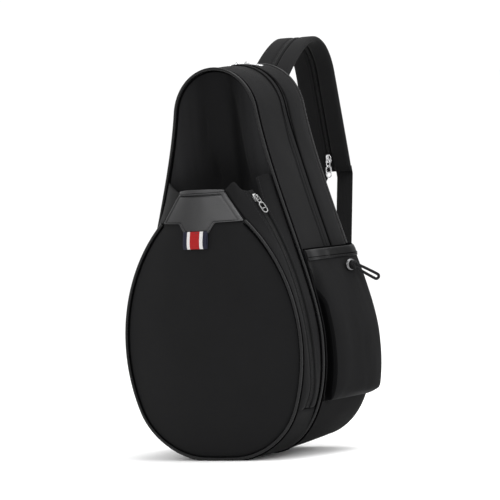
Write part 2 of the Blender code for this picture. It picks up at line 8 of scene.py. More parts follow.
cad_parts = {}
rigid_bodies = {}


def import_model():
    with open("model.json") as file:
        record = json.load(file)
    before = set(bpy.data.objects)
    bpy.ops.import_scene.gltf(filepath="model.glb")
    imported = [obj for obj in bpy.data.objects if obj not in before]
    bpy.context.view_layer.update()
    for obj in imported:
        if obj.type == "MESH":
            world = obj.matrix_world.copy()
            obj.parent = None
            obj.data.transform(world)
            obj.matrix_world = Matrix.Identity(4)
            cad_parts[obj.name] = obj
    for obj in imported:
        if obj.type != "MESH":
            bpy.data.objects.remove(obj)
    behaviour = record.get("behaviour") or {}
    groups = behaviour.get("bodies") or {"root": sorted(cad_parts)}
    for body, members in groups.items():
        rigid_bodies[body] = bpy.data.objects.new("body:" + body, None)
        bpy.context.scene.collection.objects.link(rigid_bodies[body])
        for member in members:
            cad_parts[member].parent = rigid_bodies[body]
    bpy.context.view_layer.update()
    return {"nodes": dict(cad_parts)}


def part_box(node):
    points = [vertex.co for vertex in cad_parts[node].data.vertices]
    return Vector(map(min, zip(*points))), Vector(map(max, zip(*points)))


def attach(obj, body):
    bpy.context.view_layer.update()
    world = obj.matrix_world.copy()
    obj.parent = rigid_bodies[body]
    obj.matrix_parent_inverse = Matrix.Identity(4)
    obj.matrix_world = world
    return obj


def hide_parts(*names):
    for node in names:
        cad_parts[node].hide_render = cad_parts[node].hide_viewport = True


for old in list(bpy.data.objects):
    bpy.data.objects.remove(old, do_unlink=True)
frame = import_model()

# ---------------------------------------------------------------- sizes, as in the CAD
BODY_HEIGHT, BODY_HALF_WIDTH, BODY_WIDEST_Z = 0.4972, 0.1366, 0.1536
BASE_FRONT, BASE_REAR = (0.045, 0.018, 0.85), (0.045, 0.026, 0.80)
ARCH_RADIUS, ARCH_FLARE = 0.0629, math.radians(9.05)
SIDE_HANDLE_LOW, SIDE_HANDLE_TOP = 0.0693, 0.1011
Y_FRONT = -0.0934
Y_BACK = Y_FRONT + 0.100
POCKET_DEPTH = 0.042
SKIN, GAP, PIPING_R = 0.0025, 0.0004, 0.0021
POCKET_HALF_WIDTH, POCKET_WIDEST_Z, POCKET_FLANK_R = 0.133, 0.153, 0.210
POCKET_LOW_ANGLE = math.radians(-22.0)
PATCH_LOW_Z, POCKET_MOUTH_Z, POCKET_MOUTH_HALF = 0.309, 0.3455, 0.034
POCKET_BASE_Z, POCKET_BASE_HALF, POCKET_HANDLE = 0.0135, 0.020, 0.040
POCKET_CROWN = 0.022
GROUND = POCKET_BASE_Z       # heights below are above the body's own datum; pieces are set down by this much
PZIP_R, PZIP_X, PZIP_Z, PZIP_TOP_Z = 0.360, 0.1318 - 0.360, 0.128, 0.3455
PZIP_FOOT_Z, PZIP_FOOT_CURL, PZIP_TILT = 0.110, 7.0, math.radians(20.0)
STRIP_TOP_Z = 0.365
ZIP_Y, ZIP_GAP = Y_FRONT + 0.0634, 0.0100
SIDE_Z0, SIDE_Z1 = 0.080, 0.266
SIDE_Y0, SIDE_Y1 = Y_FRONT + 0.003, Y_BACK - 0.003
SIDE_BULGE_LOW, SIDE_BULGE_TOP, SIDE_PEAK = 0.0275, 0.0175, 0.85
EYE_U, EYE_Z = 0.65, 0.266 - 0.0225
STRAP_HALF, STRAP_SLOT, STRAP_T = 0.0295, 0.0042, 0.008
STRAP_LOW, STRAP_BEND = (0.1495, 0.3523), (0.1260, 0.479)
WEB_W, WEB_T = 0.0235, 0.0016
CORD_R, LOOP_LEN, LOOP_R = 0.0018, 0.0285, 0.0031
ARCH_Z = BODY_HEIGHT - ARCH_RADIUS
POCKET_CX = POCKET_HALF_WIDTH - POCKET_FLANK_R
Y_POCKET = Y_FRONT - POCKET_DEPTH
Y_ROOT = Y_FRONT - 2 * PIPING_R - 2 * GAP - 0.0004
PZIP_Y = 0.5 * (Y_POCKET + Y_ROOT)
TAB_LOW, TAB_HALF = 0.296, 0.0178


def smooth(a, b, x):
    t = min(1.0, max(0.0, (x - a) / (b - a)))
    return t * t * (3 - 2 * t)


def bump(x, at, w):
    return math.exp(-((x - at) / w) ** 2)


# ---------------------------------------------------------------- outlines
def bezier(p0, p1, p2, p3, n):
    out = []
    for i in range(n):
        t = i / n
        a, b, c, d = (1 - t) ** 3, 3 * t * (1 - t) ** 2, 3 * t * t * (1 - t), t ** 3
        out.append(tuple(a * q0 + b * q1 + c * q2 + d * q3 for q0, q1, q2, q3 in zip(p0, p1, p2, p3)))
    return out


def base_right(flat, height, roundness):
    low = []
    for i in range(28):
        a = 0.5 * math.pi * i / 28
        low.append((flat + (BODY_HALF_WIDTH - flat) * math.sin(a),
                    height + (BODY_WIDEST_Z - height) * (1 - math.cos(a) ** roundness)))
    return low


def body_right():
    end = (ARCH_RADIUS * math.cos(ARCH_FLARE), ARCH_Z + ARCH_RADIUS * math.sin(ARCH_FLARE))
    start = (BODY_HALF_WIDTH, BODY_WIDEST_Z)
    side = bezier(start, (start[0], start[1] + SIDE_HANDLE_LOW),
                  (end[0] + SIDE_HANDLE_TOP * math.sin(ARCH_FLARE), end[1] - SIDE_HANDLE_TOP * math.cos(ARCH_FLARE)), end, 44)
    arch = []
    for i in range(31):
        a = ARCH_FLARE + (0.5 * math.pi - ARCH_FLARE) * i / 30
        arch.append((ARCH_RADIUS * math.cos(a), ARCH_Z + ARCH_RADIUS * math.sin(a)))
    return side, arch


def mirrored(pts, drop_first=True):
    out = [(-x, z) for x, z in reversed(pts)]
    return out[1:] if drop_first else out


SIDE, ARCH = body_right()
UPPER = SIDE + ARCH
UPPER = UPPER + mirrored(UPPER)


def outlines(flat, height, roundness):
    # right base quarter, the lower line from left to right, the whole ring
    low = base_right(flat, height, roundness)
    level = [(-flat + 2 * flat * i / 12, height) for i in range(1, 12)]
    end = low + [(BODY_HALF_WIDTH, BODY_WIDEST_Z)]
    return low, mirrored(end, False) + level + end, low + UPPER + mirrored(low, False) + level


LOW, LOWER, RING = outlines(*BASE_FRONT)
LOW_REAR, LOWER_REAR, RING_REAR = outlines(*BASE_REAR)


def pocket_right():
    a0, a1 = POCKET_LOW_ANGLE, math.asin((PATCH_LOW_Z - POCKET_WIDEST_Z) / POCKET_FLANK_R)
    flank = [(POCKET_CX + POCKET_FLANK_R * math.cos(a0 + (a1 - a0) * i / 40),
              POCKET_WIDEST_Z + POCKET_FLANK_R * math.sin(a0 + (a1 - a0) * i / 40)) for i in range(41)]
    e, f = flank[0], flank[-1]
    for i in range(1, 9):
        t = i / 8
        flank.append((f[0] + (POCKET_MOUTH_HALF - f[0]) * t, f[1] + (POCKET_MOUTH_Z - f[1]) * t))
    low = bezier((POCKET_BASE_HALF, POCKET_BASE_Z), (POCKET_BASE_HALF + POCKET_HANDLE, POCKET_BASE_Z),
                 (e[0] - POCKET_HANDLE * math.sin(-a0), e[1] - POCKET_HANDLE * math.cos(a0)), e, 28)
    return low, flank


P_LOW, P_FLANK = pocket_right()
P_CORNER = P_FLANK[40]
P_FLAT = [(-POCKET_BASE_HALF + 2 * POCKET_BASE_HALF * i / 6, POCKET_BASE_Z) for i in range(1, 6)]
P_TOP = [(POCKET_MOUTH_HALF - 2 * POCKET_MOUTH_HALF * i / 12, POCKET_MOUTH_Z) for i in range(1, 12)]
P_BASE = mirrored(P_LOW + [P_FLANK[0]], False) + P_FLAT + P_LOW + [P_FLANK[0]]
P_RING = P_LOW + P_FLANK + P_TOP + mirrored(P_LOW + P_FLANK, False) + P_FLAT
P_OPEN = mirrored(P_LOW + P_FLANK[:41], False) + P_FLAT + P_LOW + P_FLANK[:41]


def half_width(z):
    wide = 0.0
    for pts in (LOW + SIDE + ARCH, LOW_REAR + SIDE + ARCH):
        for (xa, za), (xb, zb) in zip(pts, pts[1:]):
            if za <= z <= zb:
                wide = max(wide, xa + (xb - xa) * (z - za) / (zb - za))
    return wide


def crown(x, z):
    # how far the filled pocket's front stands out
    half = 0.0
    pts = P_LOW + P_FLANK
    for (xa, za), (xb, zb) in zip(pts, pts[1:]):
        if za <= z <= zb:
            half = xa + (xb - xa) * (z - za) / (zb - za)
    across = 1 - min(1.0, abs(x) / max(half, POCKET_BASE_HALF)) ** 2
    if z < POCKET_WIDEST_Z:
        tall = max(0.0, 1 - ((POCKET_WIDEST_Z - z) / (POCKET_WIDEST_Z - POCKET_BASE_Z)) ** 2) ** 0.7
    else:
        tall = 1 - 0.40 * max(0.0, (z - 0.240) / (POCKET_MOUTH_Z - 0.240)) ** 2
    return POCKET_CROWN * across * tall


def inward(pts, closed):
    n = len(pts)
    out = []
    for i in range(n):
        a = pts[(i - 1) % n] if closed or i > 0 else pts[i]
        b = pts[(i + 1) % n] if closed or i < n - 1 else pts[i]
        dx, dz = b[0] - a[0], b[1] - a[1]
        ln = math.hypot(dx, dz) or 1.0
        out.append((-dz / ln, dx / ln))
    return out


def offset(pts, d, closed):
    return [(p[0] + d * n[0], p[1] + d * n[1]) for p, n in zip(pts, inward(pts, closed))]


def along(pts, t):
    lens = [math.dist(a, b) for a, b in zip(pts, pts[1:])]
    want = t * sum(lens)
    for (a, b), ln in zip(zip(pts, pts[1:]), lens):
        if want <= ln + 1e-9:
            return tuple(p + (q - p) * (want / ln if ln else 0) for p, q in zip(a, b))
        want -= ln
    return tuple(pts[-1])


def every(pts, pitch):
    # points at a steady pitch along a polyline of vectors, with their index position
    out, need = [], 0.5 * pitch
    for i, (a, b) in enumerate(zip(pts, pts[1:])):
        ln = (b - a).length
        while need <= ln:
            out.append((i, need / ln))
            need += pitch
        need -= ln
    return out


# ---------------------------------------------------------------- materials
def material(name, colour, rough, metal=0.0, sheen=0.0, coat=0.0, spec=0.5):
    mat = bpy.data.materials.new(name)
    mat.use_nodes = True
    nt = mat.node_tree
    b = nt.nodes["Principled BSDF"]
    b.inputs["Base Color"].default_value = (*colour, 1.0)
    b.inputs["Roughness"].default_value = rough
    b.inputs["Metallic"].default_value = metal
    b.inputs["Specular IOR Level"].default_value = spec
    b.inputs["Sheen Weight"].default_value = sheen
    b.inputs["Sheen Roughness"].default_value = 0.45
    b.inputs["Coat Weight"].default_value = coat
    b.inputs["Coat Roughness"].default_value = 0.25
    return mat, nt, b


def node(nt, kind, **inputs):
    n = nt.nodes.new(kind)
    for k, v in inputs.items():
        n.inputs[k.replace("_", " ")].default_value = v
    return n


def math_node(nt, op, a, b):
    n = nt.nodes.new("ShaderNodeMath")
    n.operation = op
    for i, v in enumerate((a, b)):
        if isinstance(v, (int, float)):
            n.inputs[i].default_value = v
        else:
            nt.links.new(v, n.inputs[i])
    return n.outputs[0]


def ramp(nt, fac, stops, interp="LINEAR"):
    n = nt.nodes.new("ShaderNodeValToRGB")
    n.color_ramp.interpolation = interp
    els = n.color_ramp.elements
    while len(els) < len(stops):
        els.new(0.5)
    for e, (pos, col) in zip(els, stops):
        e.position = pos
        e.color = (*col, 1.0)
    nt.links.new(fac, n.inputs[0])
    return n.outputs[0]


def bump_to(nt, b, height, strength, distance):
    n = nt.nodes.new("ShaderNodeBump")
    n.inputs["Strength"].default_value = strength
    n.inputs["Distance"].default_value = distance
    nt.links.new(height, n.inputs["Height"])
    nt.links.new(n.outputs[0], b.inputs["Normal"])


def wave(nt, vec, direction, period, profile="SIN", distortion=0.0):
    n = nt.nodes.new("ShaderNodeTexWave")
    n.wave_type = "BANDS"
    n.bands_direction = direction
    n.wave_profile = profile
    n.inputs["Scale"].default_value = 2 * math.pi / ((10.0 if direction == "DIAGONAL" else 20.0) * period)
    n.inputs["Distortion"].default_value = distortion
    n.inputs["Detail"].default_value = 1.0
    nt.links.new(vec, n.inputs["Vector"])
    return n.outputs["Fac"]


def noise_tex(nt, vec, scale, detail=3.0, rough=0.5):
    n = nt.nodes.new("ShaderNodeTexNoise")
    n.inputs["Scale"].default_value = scale
    n.inputs["Detail"].default_value = detail
    n.inputs["Roughness"].default_value = rough
    nt.links.new(vec, n.inputs["Vector"])
    return n.outputs["Fac"]


def scaled(col, k):
    return tuple(min(1.0, c * k) for c in col)


def shade(nt, b, fac, colour, low, high):
    nt.links.new(ramp(nt, fac, [(0.25, scaled(colour, low)), (0.75, scaled(colour, high))]), b.inputs["Base Color"])


def roughness(nt, b, fac, lo, hi):
    n = nt.nodes.new("ShaderNodeMapRange")
    n.inputs["To Min"].default_value = lo
    n.inputs["To Max"].default_value = hi
    nt.links.new(fac, n.inputs["Value"])
    nt.links.new(n.outputs[0], b.inputs["Roughness"])


def twill(name, colour, rough=0.8, sheen=0.12, period=0.0011, strength=0.35, spec=0.35):
    mat, nt, b = material(name, colour, rough, sheen=sheen, spec=spec)
    tc = nt.nodes.new("ShaderNodeTexCoord")
    diag = wave(nt, tc.outputs["UV"], "DIAGONAL", period)
    weft = wave(nt, tc.outputs["UV"], "Y", period * 0.62)
    fuzz = noise_tex(nt, tc.outputs["Object"], 900.0, 2.0, 0.6)
    cloud = noise_tex(nt, tc.outputs["Object"], 16.0, 3.0, 0.55)
    weave = math_node(nt, "ADD", math_node(nt, "MULTIPLY", diag, 0.6), math_node(nt, "MULTIPLY", weft, 0.4))
    tone = math_node(nt, "ADD", math_node(nt, "MULTIPLY", weave, 0.30),
                     math_node(nt, "ADD", math_node(nt, "MULTIPLY", fuzz, 0.25), math_node(nt, "MULTIPLY", cloud, 0.45)))
    shade(nt, b, tone, colour, 0.72, 1.30)
    roughness(nt, b, cloud, rough - 0.08, rough + 0.08)
    bump_to(nt, b, math_node(nt, "ADD", weave, math_node(nt, "MULTIPLY", fuzz, 0.5)), strength, 0.00025)
    return mat


def leather(name, colour, rough, strength=0.35, grain=750.0, coat=0.0, spec=0.45):
    mat, nt, b = material(name, colour, rough, coat=coat, spec=spec)
    tc = nt.nodes.new("ShaderNodeTexCoord")
    vor = nt.nodes.new("ShaderNodeTexVoronoi")
    vor.inputs["Scale"].default_value = grain
    nt.links.new(tc.outputs["Object"], vor.inputs["Vector"])
    fine = noise_tex(nt, tc.outputs["Object"], 1500.0, 3.0, 0.6)
    cloud = noise_tex(nt, tc.outputs["Object"], 45.0, 4.0, 0.6)
    grainv = math_node(nt, "ADD", math_node(nt, "MULTIPLY", vor.outputs["Distance"], 0.7), math_node(nt, "MULTIPLY", fine, 0.3))
    shade(nt, b, math_node(nt, "ADD", math_node(nt, "MULTIPLY", grainv, 0.4), math_node(nt, "MULTIPLY", cloud, 0.6)), colour, 0.75, 1.25)
    roughness(nt, b, cloud, rough - 0.07, rough + 0.10)
    bump_to(nt, b, grainv, strength, 0.0002)
    return mat


def painted_light_ramp(mat, spec, lo, hi, stops, axis="Y"):
    # painted light and shade: base colour and gloss scaled up and down along one axis by a ramp
    nt = mat.node_tree
    b = nt.nodes["Principled BSDF"]
    old = b.inputs["Base Color"].links[0].from_socket
    tc = nt.nodes.new("ShaderNodeTexCoord")
    sep = nt.nodes.new("ShaderNodeSeparateXYZ")
    nt.links.new(tc.outputs["Object"], sep.inputs[0])
    t = math_node(nt, "DIVIDE", math_node(nt, "SUBTRACT", sep.outputs[axis], lo), hi - lo)
    fac = ramp(nt, t, [(q, (v, v, v)) for q, v in stops], "EASE")
    mix = nt.nodes.new("ShaderNodeMixRGB")
    mix.blend_type = "MULTIPLY"
    mix.inputs[0].default_value = 1.0
    nt.links.new(old, mix.inputs[1])
    nt.links.new(fac, mix.inputs[2])
    nt.links.new(mix.outputs[0], b.inputs["Base Color"])
    nt.links.new(math_node(nt, "MULTIPLY", fac, spec), b.inputs["Specular IOR Level"])
    return mat


def ribbed(name, colour, period, rough=0.75, strength=0.6, axis="X", sheen=0.02):
    mat, nt, b = material(name, colour, rough, sheen=sheen, spec=0.10)
    tc = nt.nodes.new("ShaderNodeTexCoord")
    rib = wave(nt, tc.outputs["UV"], axis, period)
    cross = wave(nt, tc.outputs["UV"], "Y" if axis == "X" else "X", period * 0.7)
    fuzz = noise_tex(nt, tc.outputs["Object"], 700.0, 3.0, 0.6)
    h = math_node(nt, "ADD", math_node(nt, "MULTIPLY", rib, 0.7), math_node(nt, "MULTIPLY", cross, 0.3))
    shade(nt, b, math_node(nt, "ADD", math_node(nt, "MULTIPLY", h, 0.6), math_node(nt, "MULTIPLY", fuzz, 0.4)), colour, 0.65, 1.35)
    bump_to(nt, b, h, strength, 0.0004)
    return mat


def metal(name, colour, rough):
    mat, nt, b = material(name, colour, rough, metal=1.0)
    tc = nt.nodes.new("ShaderNodeTexCoord")
    smear = noise_tex(nt, tc.outputs["Object"], 350.0, 4.0, 0.6)
    fine = noise_tex(nt, tc.outputs["Object"], 2500.0, 2.0, 0.5)
    roughness(nt, b, smear, rough - 0.06, rough + 0.12)
    shade(nt, b, smear, colour, 0.9, 1.06)
    bump_to(nt, b, fine, 0.08, 0.0001)
    return mat


def moulded(name, colour, rough):
    mat, nt, b = material(name, colour, rough, spec=0.22)
    tc = nt.nodes.new("ShaderNodeTexCoord")
    fine = noise_tex(nt, tc.outputs["Object"], 1400.0, 3.0, 0.6)
    cloud = noise_tex(nt, tc.outputs["Object"], 60.0, 3.0, 0.5)
    shade(nt, b, cloud, colour, 0.85, 1.2)
    roughness(nt, b, cloud, rough - 0.05, rough + 0.1)
    bump_to(nt, b, fine, 0.15, 0.0002)
    return mat


def air_mesh(name, colour):
    mat, nt, b = material(name, colour, 0.85, sheen=0.02, spec=0.10)
    tc = nt.nodes.new("ShaderNodeTexCoord")
    vor = nt.nodes.new("ShaderNodeTexVoronoi")
    vor.inputs["Scale"].default_value = 330.0
    vor.inputs["Randomness"].default_value = 0.25
    nt.links.new(tc.outputs["UV"], vor.inputs["Vector"])
    fuzz = noise_tex(nt, tc.outputs["Object"], 800.0, 2.0, 0.6)
    shade(nt, b, math_node(nt, "ADD", math_node(nt, "MULTIPLY", vor.outputs["Distance"], 0.8), math_node(nt, "MULTIPLY", fuzz, 0.2)), colour, 0.45, 1.5)
    bump_to(nt, b, vor.outputs["Distance"], 0.8, 0.0008)
    return mat


def striped(name, edges, colours):
    # grosgrain ribbon: stripes along the length, fine ribs across it
    mat, nt, b = material(name, colours[0], 0.62, sheen=0.02, spec=0.14)
    tc = nt.nodes.new("ShaderNodeTexCoord")
    sep = nt.nodes.new("ShaderNodeSeparateXYZ")
    nt.links.new(tc.outputs["UV"], sep.inputs[0])
    stops = list(zip([0.0] + edges, colours))
    col = ramp(nt, sep.outputs["X"], stops, "CONSTANT")
    rib = wave(nt, tc.outputs["UV"], "Y", 0.052)
    mix = nt.nodes.new("ShaderNodeMix")
    mix.data_type = "RGBA"
    mix.blend_type = "MULTIPLY"
    mix.inputs["Factor"].default_value = 0.35
    nt.links.new(col, mix.inputs["A"])
    nt.links.new(ramp(nt, rib, [(0.0, (0.55, 0.55, 0.55)), (1.0, (1, 1, 1))]), mix.inputs["B"])
    nt.links.new(mix.outputs["Result"], b.inputs["Base Color"])
    bump_to(nt, b, rib, 0.5, 0.0003)
    return mat


BLACK = (0.0057, 0.0057, 0.0060)
M_CLOTH = twill("black_twill", BLACK, 0.80, 0.02, spec=0.075)
# painted shade: a darker copy of the black twill; no piece uses it
M_PANEL = twill("black_twill_panel", (0.0050, 0.0050, 0.0053), 0.84, 0.015, spec=0.06)
M_STRAP = twill("black_twill_strap", (0.0068, 0.0068, 0.0071), 0.78, 0.02, 0.0013, spec=0.10)
# painted shade: near-black cloth for the dark sheets and tubes that stand in for shadow in folds, gaps and beside seams
M_PAINTED_SHADE = twill("painted_shade_black", (0.0011, 0.0011, 0.0012), 0.92, 0.0, 0.0009, 0.25, spec=0.01)
# painted shade: the leather's colour and gloss fall off towards its left side (lower x)
M_LEATHER = painted_light_ramp(leather("black_leather", (0.027, 0.027, 0.0280), 0.46, 0.30), 0.36, -0.062, 0.062, [(0.0, 0.55), (0.35, 0.62), (0.65, 0.90), (1.0, 1.0)], "X")
# painted light and shade: a darker copy of the twill, lighter at both side edges and darker in a band where the fold
# lies
M_FRONT = painted_light_ramp(twill("black_twill_front", (0.0050, 0.0050, 0.0053), 0.84, 0.015), 0.06, -0.066, 0.066,
               [(0.0, 2.0), (0.12, 1.45), (0.20, 1.2), (0.35, 0.86), (0.50, 0.92), (0.62, 0.90), (0.68, 0.64), (0.73, 0.85), (0.79, 1.2), (0.86, 1.6), (0.96, 2.1)], "X")
# painted shade: the base cloths get darker towards the floor
M_BASE = painted_light_ramp(twill("black_twill_base", (0.0050, 0.0050, 0.0053), 0.84, 0.015), 0.06, 0.0, 0.100, [(0.0, 0.45), (0.20, 0.52), (0.45, 0.74), (0.75, 0.86), (1.0, 0.95)], "Z")
M_UNDER = painted_light_ramp(twill("black_twill_under", BLACK, 0.80, 0.02), 0.075, 0.0, 0.062, [(0.0, 0.40), (0.25, 0.50), (0.60, 0.75), (1.0, 0.95)], "Z")
# painted shade: a less dark cloth for the soft edge of the shadow in the bottle pocket fold
M_PAINTED_HALF_SHADE = twill("painted_half_shade_black", (0.0026, 0.0026, 0.0028), 0.90, 0.0, 0.0009, 0.25, spec=0.03)
# painted highlights and painted shade: the binding is lighter near its front and back ends and darker between
M_BIND = painted_light_ramp(leather("binding_leather", (0.0072, 0.0072, 0.0076), 0.30, 0.30), 0.16, Y_FRONT, Y_BACK, [(0.0, 0.42), (0.08, 0.70), (0.18, 1.6), (0.30, 0.85), (0.55, 0.55), (0.72, 0.50), (0.88, 1.3), (1.0, 1.0)])
M_PIPE = leather("piping_cover", (0.0046, 0.0046, 0.0049), 0.26, 0.20, 1100.0, spec=0.17)
M_TAPE = ribbed("zip_tape", (0.0055, 0.0055, 0.0058), 0.0009)
M_TEETH = moulded("zip_coil", (0.0065, 0.0065, 0.0068), 0.38)
M_WEB = ribbed("webbing", (0.0040, 0.0040, 0.0043), 0.0021)
M_THREAD = ribbed("thread", (0.015, 0.015, 0.016), 0.0006, 0.6, 0.4)
M_METAL = metal("nickel", (0.70, 0.70, 0.71), 0.20)
M_DULL = metal("nickel_dull", (0.19, 0.19, 0.19), 0.20)
M_EYE = metal("eyelet_nickel", (0.12, 0.12, 0.123), 0.22)
M_PLASTIC = moulded("acetal", (0.0085, 0.0085, 0.0090), 0.42)
M_MESH = air_mesh("air_mesh", (0.0100, 0.0100, 0.0105))
M_CORD = ribbed("elastic_cord", (0.0075, 0.0075, 0.0080), 0.0012)
M_BOARD = moulded("board", (0.06, 0.06, 0.065), 0.6)
M_RIBBON = striped("striped_ribbon", [0.165, 0.285, 0.690, 0.835],
                   [(0.0075, 0.0080, 0.0190), (0.50, 0.49, 0.485), (0.25, 0.0055, 0.0060), (0.50, 0.49, 0.485), (0.0075, 0.0080, 0.0190)])


# ---------------------------------------------------------------- piece builders
def settle(ob, mat, body, nodes=()):
    ob.data.materials.append(mat)
    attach(ob, body)
    if nodes:
        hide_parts(*nodes)
    return ob


def piece(name, verts, faces, mat, body="bag", nodes=(), uvs=None, flat=False, recalc=True):
    me = bpy.data.meshes.new(name)
    me.from_pydata([(v[0], v[1], v[2] - GROUND) for v in verts], [], faces)
    bm = bmesh.new()
    bm.from_mesh(me)
    bm.verts.ensure_lookup_table()
    if recalc:
        bmesh.ops.recalc_face_normals(bm, faces=bm.faces)
    layer = bm.loops.layers.uv.new("UVMap")
    for f in bm.faces:
        f.smooth = not flat
        for lp in f.loops:
            if uvs is not None:
                lp[layer].uv = uvs[lp.vert.index]
            else:
                c = lp.vert.co
                lp[layer].uv = (c.x + 0.6 * c.y, c.z)
    bm.to_mesh(me)
    bm.free()
    ob = bpy.data.objects.new(name, me)
    bpy.context.scene.collection.objects.link(ob)
    return settle(ob, mat, body, nodes)


def grid_normals(grid, closed):
    n, m = len(grid), len(grid[0])
    out = []
    for i in range(n):
        row = []
        for j in range(m):
            a = grid[(i - 1) % n][j] if closed or i > 0 else grid[i][j]
            b = grid[(i + 1) % n][j] if closed or i < n - 1 else grid[i][j]
            du, dv = b - a, grid[i][min(j + 1, m - 1)] - grid[i][max(j - 1, 0)]
            row.append(du.cross(dv).normalized())
        out.append(row)
    return out


def shell(name, grid, t, mat, body="bag", nodes=(), closed=False, flip=False):
    # closed solid of thickness t under a grid of outer points
    n, m = len(grid), len(grid[0])
    s = -1.0 if flip else 1.0
    nor = grid_normals(grid, closed)
    ulen, vlen = [0.0], [0.0]
    for i in range(1, n):
        ulen.append(ulen[-1] + (grid[i][m // 2] - grid[i - 1][m // 2]).length)
    for j in range(1, m):
        vlen.append(vlen[-1] + (grid[n // 2][j] - grid[n // 2][j - 1]).length)
    verts, uvs = [], []
    for k in (0.0, t):
        for i in range(n):
            for j in range(m):
                verts.append(grid[i][j] - nor[i][j] * (s * k))
                uvs.append((vlen[j], ulen[i]))
    k = n * m
    faces = []
    for i in range(n if closed else n - 1):
        for j in range(m - 1):
            a, b = i * m + j, ((i + 1) % n) * m + j
            faces += [(a, b, b + 1, a + 1), (k + a, k + a + 1, k + b + 1, k + b)]
        for j in (0, m - 1):
            a, b = i * m + j, ((i + 1) % n) * m + j
            faces.append((a, b, k + b, k + a))
    if not closed:
        for i in (0, n - 1):
            for j in range(m - 1):
                a = i * m + j
                faces.append((a, a + 1, k + a + 1, k + a))
    return piece(name, verts, faces, mat, body, nodes, uvs)


def panel(name, ring, centre, height, t, front, mat, nodes=(), rings=30):
    # closed pad over an outline: height(x, z, s) gives its outer face's y
    m = len(ring)
    verts, uvs, faces = [], [], []
    levels = [math.sin(0.5 * math.pi * (r + 1) / rings) for r in range(rings)]
    for k in (0, 1):
        for s in [0.0] + levels:
            for x, z in ([centre] if s == 0 else [(centre[0] + (p[0] - centre[0]) * s, centre[1] + (p[1] - centre[1]) * s) for p in ring]):
                y = height(x, z, s)
                edge = 0.35 + 0.65 * (1 - s ** 10)
                verts.append((x, y + (front * t * edge if k else 0.0), z))
                uvs.append((x, z))
    total = 1 + rings * m
    for k in (0, 1):
        o = k * total
        for j in range(m):
            faces.append((o, o + 1 + j, o + 1 + (j + 1) % m))
        for r in range(rings - 1):
            for j in range(m):
                a, b = o + 1 + r * m + j, o + 1 + r * m + (j + 1) % m
                faces.append((a, b, b + m, a + m))
    last = 1 + (rings - 1) * m
    for j in range(m):
        a, b = last + j, last + (j + 1) % m
        faces.append((a, b, total + b, total + a))
    return piece(name, verts, faces, mat, "bag", nodes, uvs)


def tube(name, pts, radius, mat, body="bag", nodes=(), closed=False, res=4, order=True):
    cu = bpy.data.curves.new(name, "CURVE")
    cu.dimensions = "3D"
    cu.bevel_depth = radius
    cu.bevel_resolution = res
    cu.use_fill_caps = not closed
    sp = cu.splines.new("POLY")
    sp.points.add(len(pts) - 1)
    for p, v in zip(sp.points, pts):
        p.co = (v[0], v[1], v[2] - GROUND, 1.0)
    sp.use_cyclic_u = closed
    sp.use_smooth = True
    ob = bpy.data.objects.new(name, cu)
    bpy.context.scene.collection.objects.link(ob)
    return settle(ob, mat, body, nodes)


def sweep(name, path, sides, section, mat, body="bag", nodes=(), closed=False, ends=True):
    # rings of points; section(i, a) gives a vector from the path at angle a
    n = len(path)
    verts, uvs, faces = [], [], []
    run = [0.0]
    for i in range(1, n):
        run.append(run[-1] + (path[i] - path[i - 1]).length)
    for i in range(n):
        ring = [section(i, 2 * math.pi * j / sides) for j in range(sides)]
        w = [0.0]
        for j in range(1, sides):
            w.append(w[-1] + (ring[j] - ring[j - 1]).length)
        for j in range(sides):
            verts.append(path[i] + ring[j])
            uvs.append((w[j], run[i]))
    for i in range(n if closed else n - 1):
        for j in range(sides):
            a, b = i * sides + j, i * sides + (j + 1) % sides
            c = ((i + 1) % n) * sides
            faces.append((a, b, c + (j + 1) % sides, c + j))
    if not closed and ends:
        faces.append(tuple(range(sides)))
        faces.append(tuple((n - 1) * sides + j for j in range(sides)))
    return piece(name, verts, faces, mat, body, nodes, uvs)


def stitches(name, pts, ups, mat=None, pitch=0.0040, length=0.0029, r=0.00034, body="bag"):
    verts, faces, uvs = [], [], []
    for i, t in every(pts, pitch):
        a, b = pts[i], pts[i + 1]
        at = a.lerp(b, t)
        run = (b - a).normalized()
        up = ups[i].lerp(ups[i + 1], t).normalized()
        side = run.cross(up).normalized()
        o = len(verts)
        for d, k, lift in ((-0.5, 0.35, -0.3), (-0.25, 1.0, 0.25), (0.25, 1.0, 0.25), (0.5, 0.35, -0.3)):
            c = at + run * (d * length) + up * (lift * r)
            for s2, u2 in ((1, 0), (0.5, 0.9), (-0.5, 0.9), (-1, 0), (0, -0.6)):
                verts.append(c + side * (s2 * r * k) + up * (u2 * r * k))
                uvs.append((d * length, s2 * r))
        for q in range(3):
            for j in range(5):
                faces.append((o + q * 5 + j, o + q * 5 + (j + 1) % 5, o + (q + 1) * 5 + (j + 1) % 5, o + (q + 1) * 5 + j))
        faces += [tuple(o + j for j in range(5)), tuple(o + 15 + j for j in range(5))]
    return piece(name, verts, faces, mat or M_THREAD, body, (), uvs)


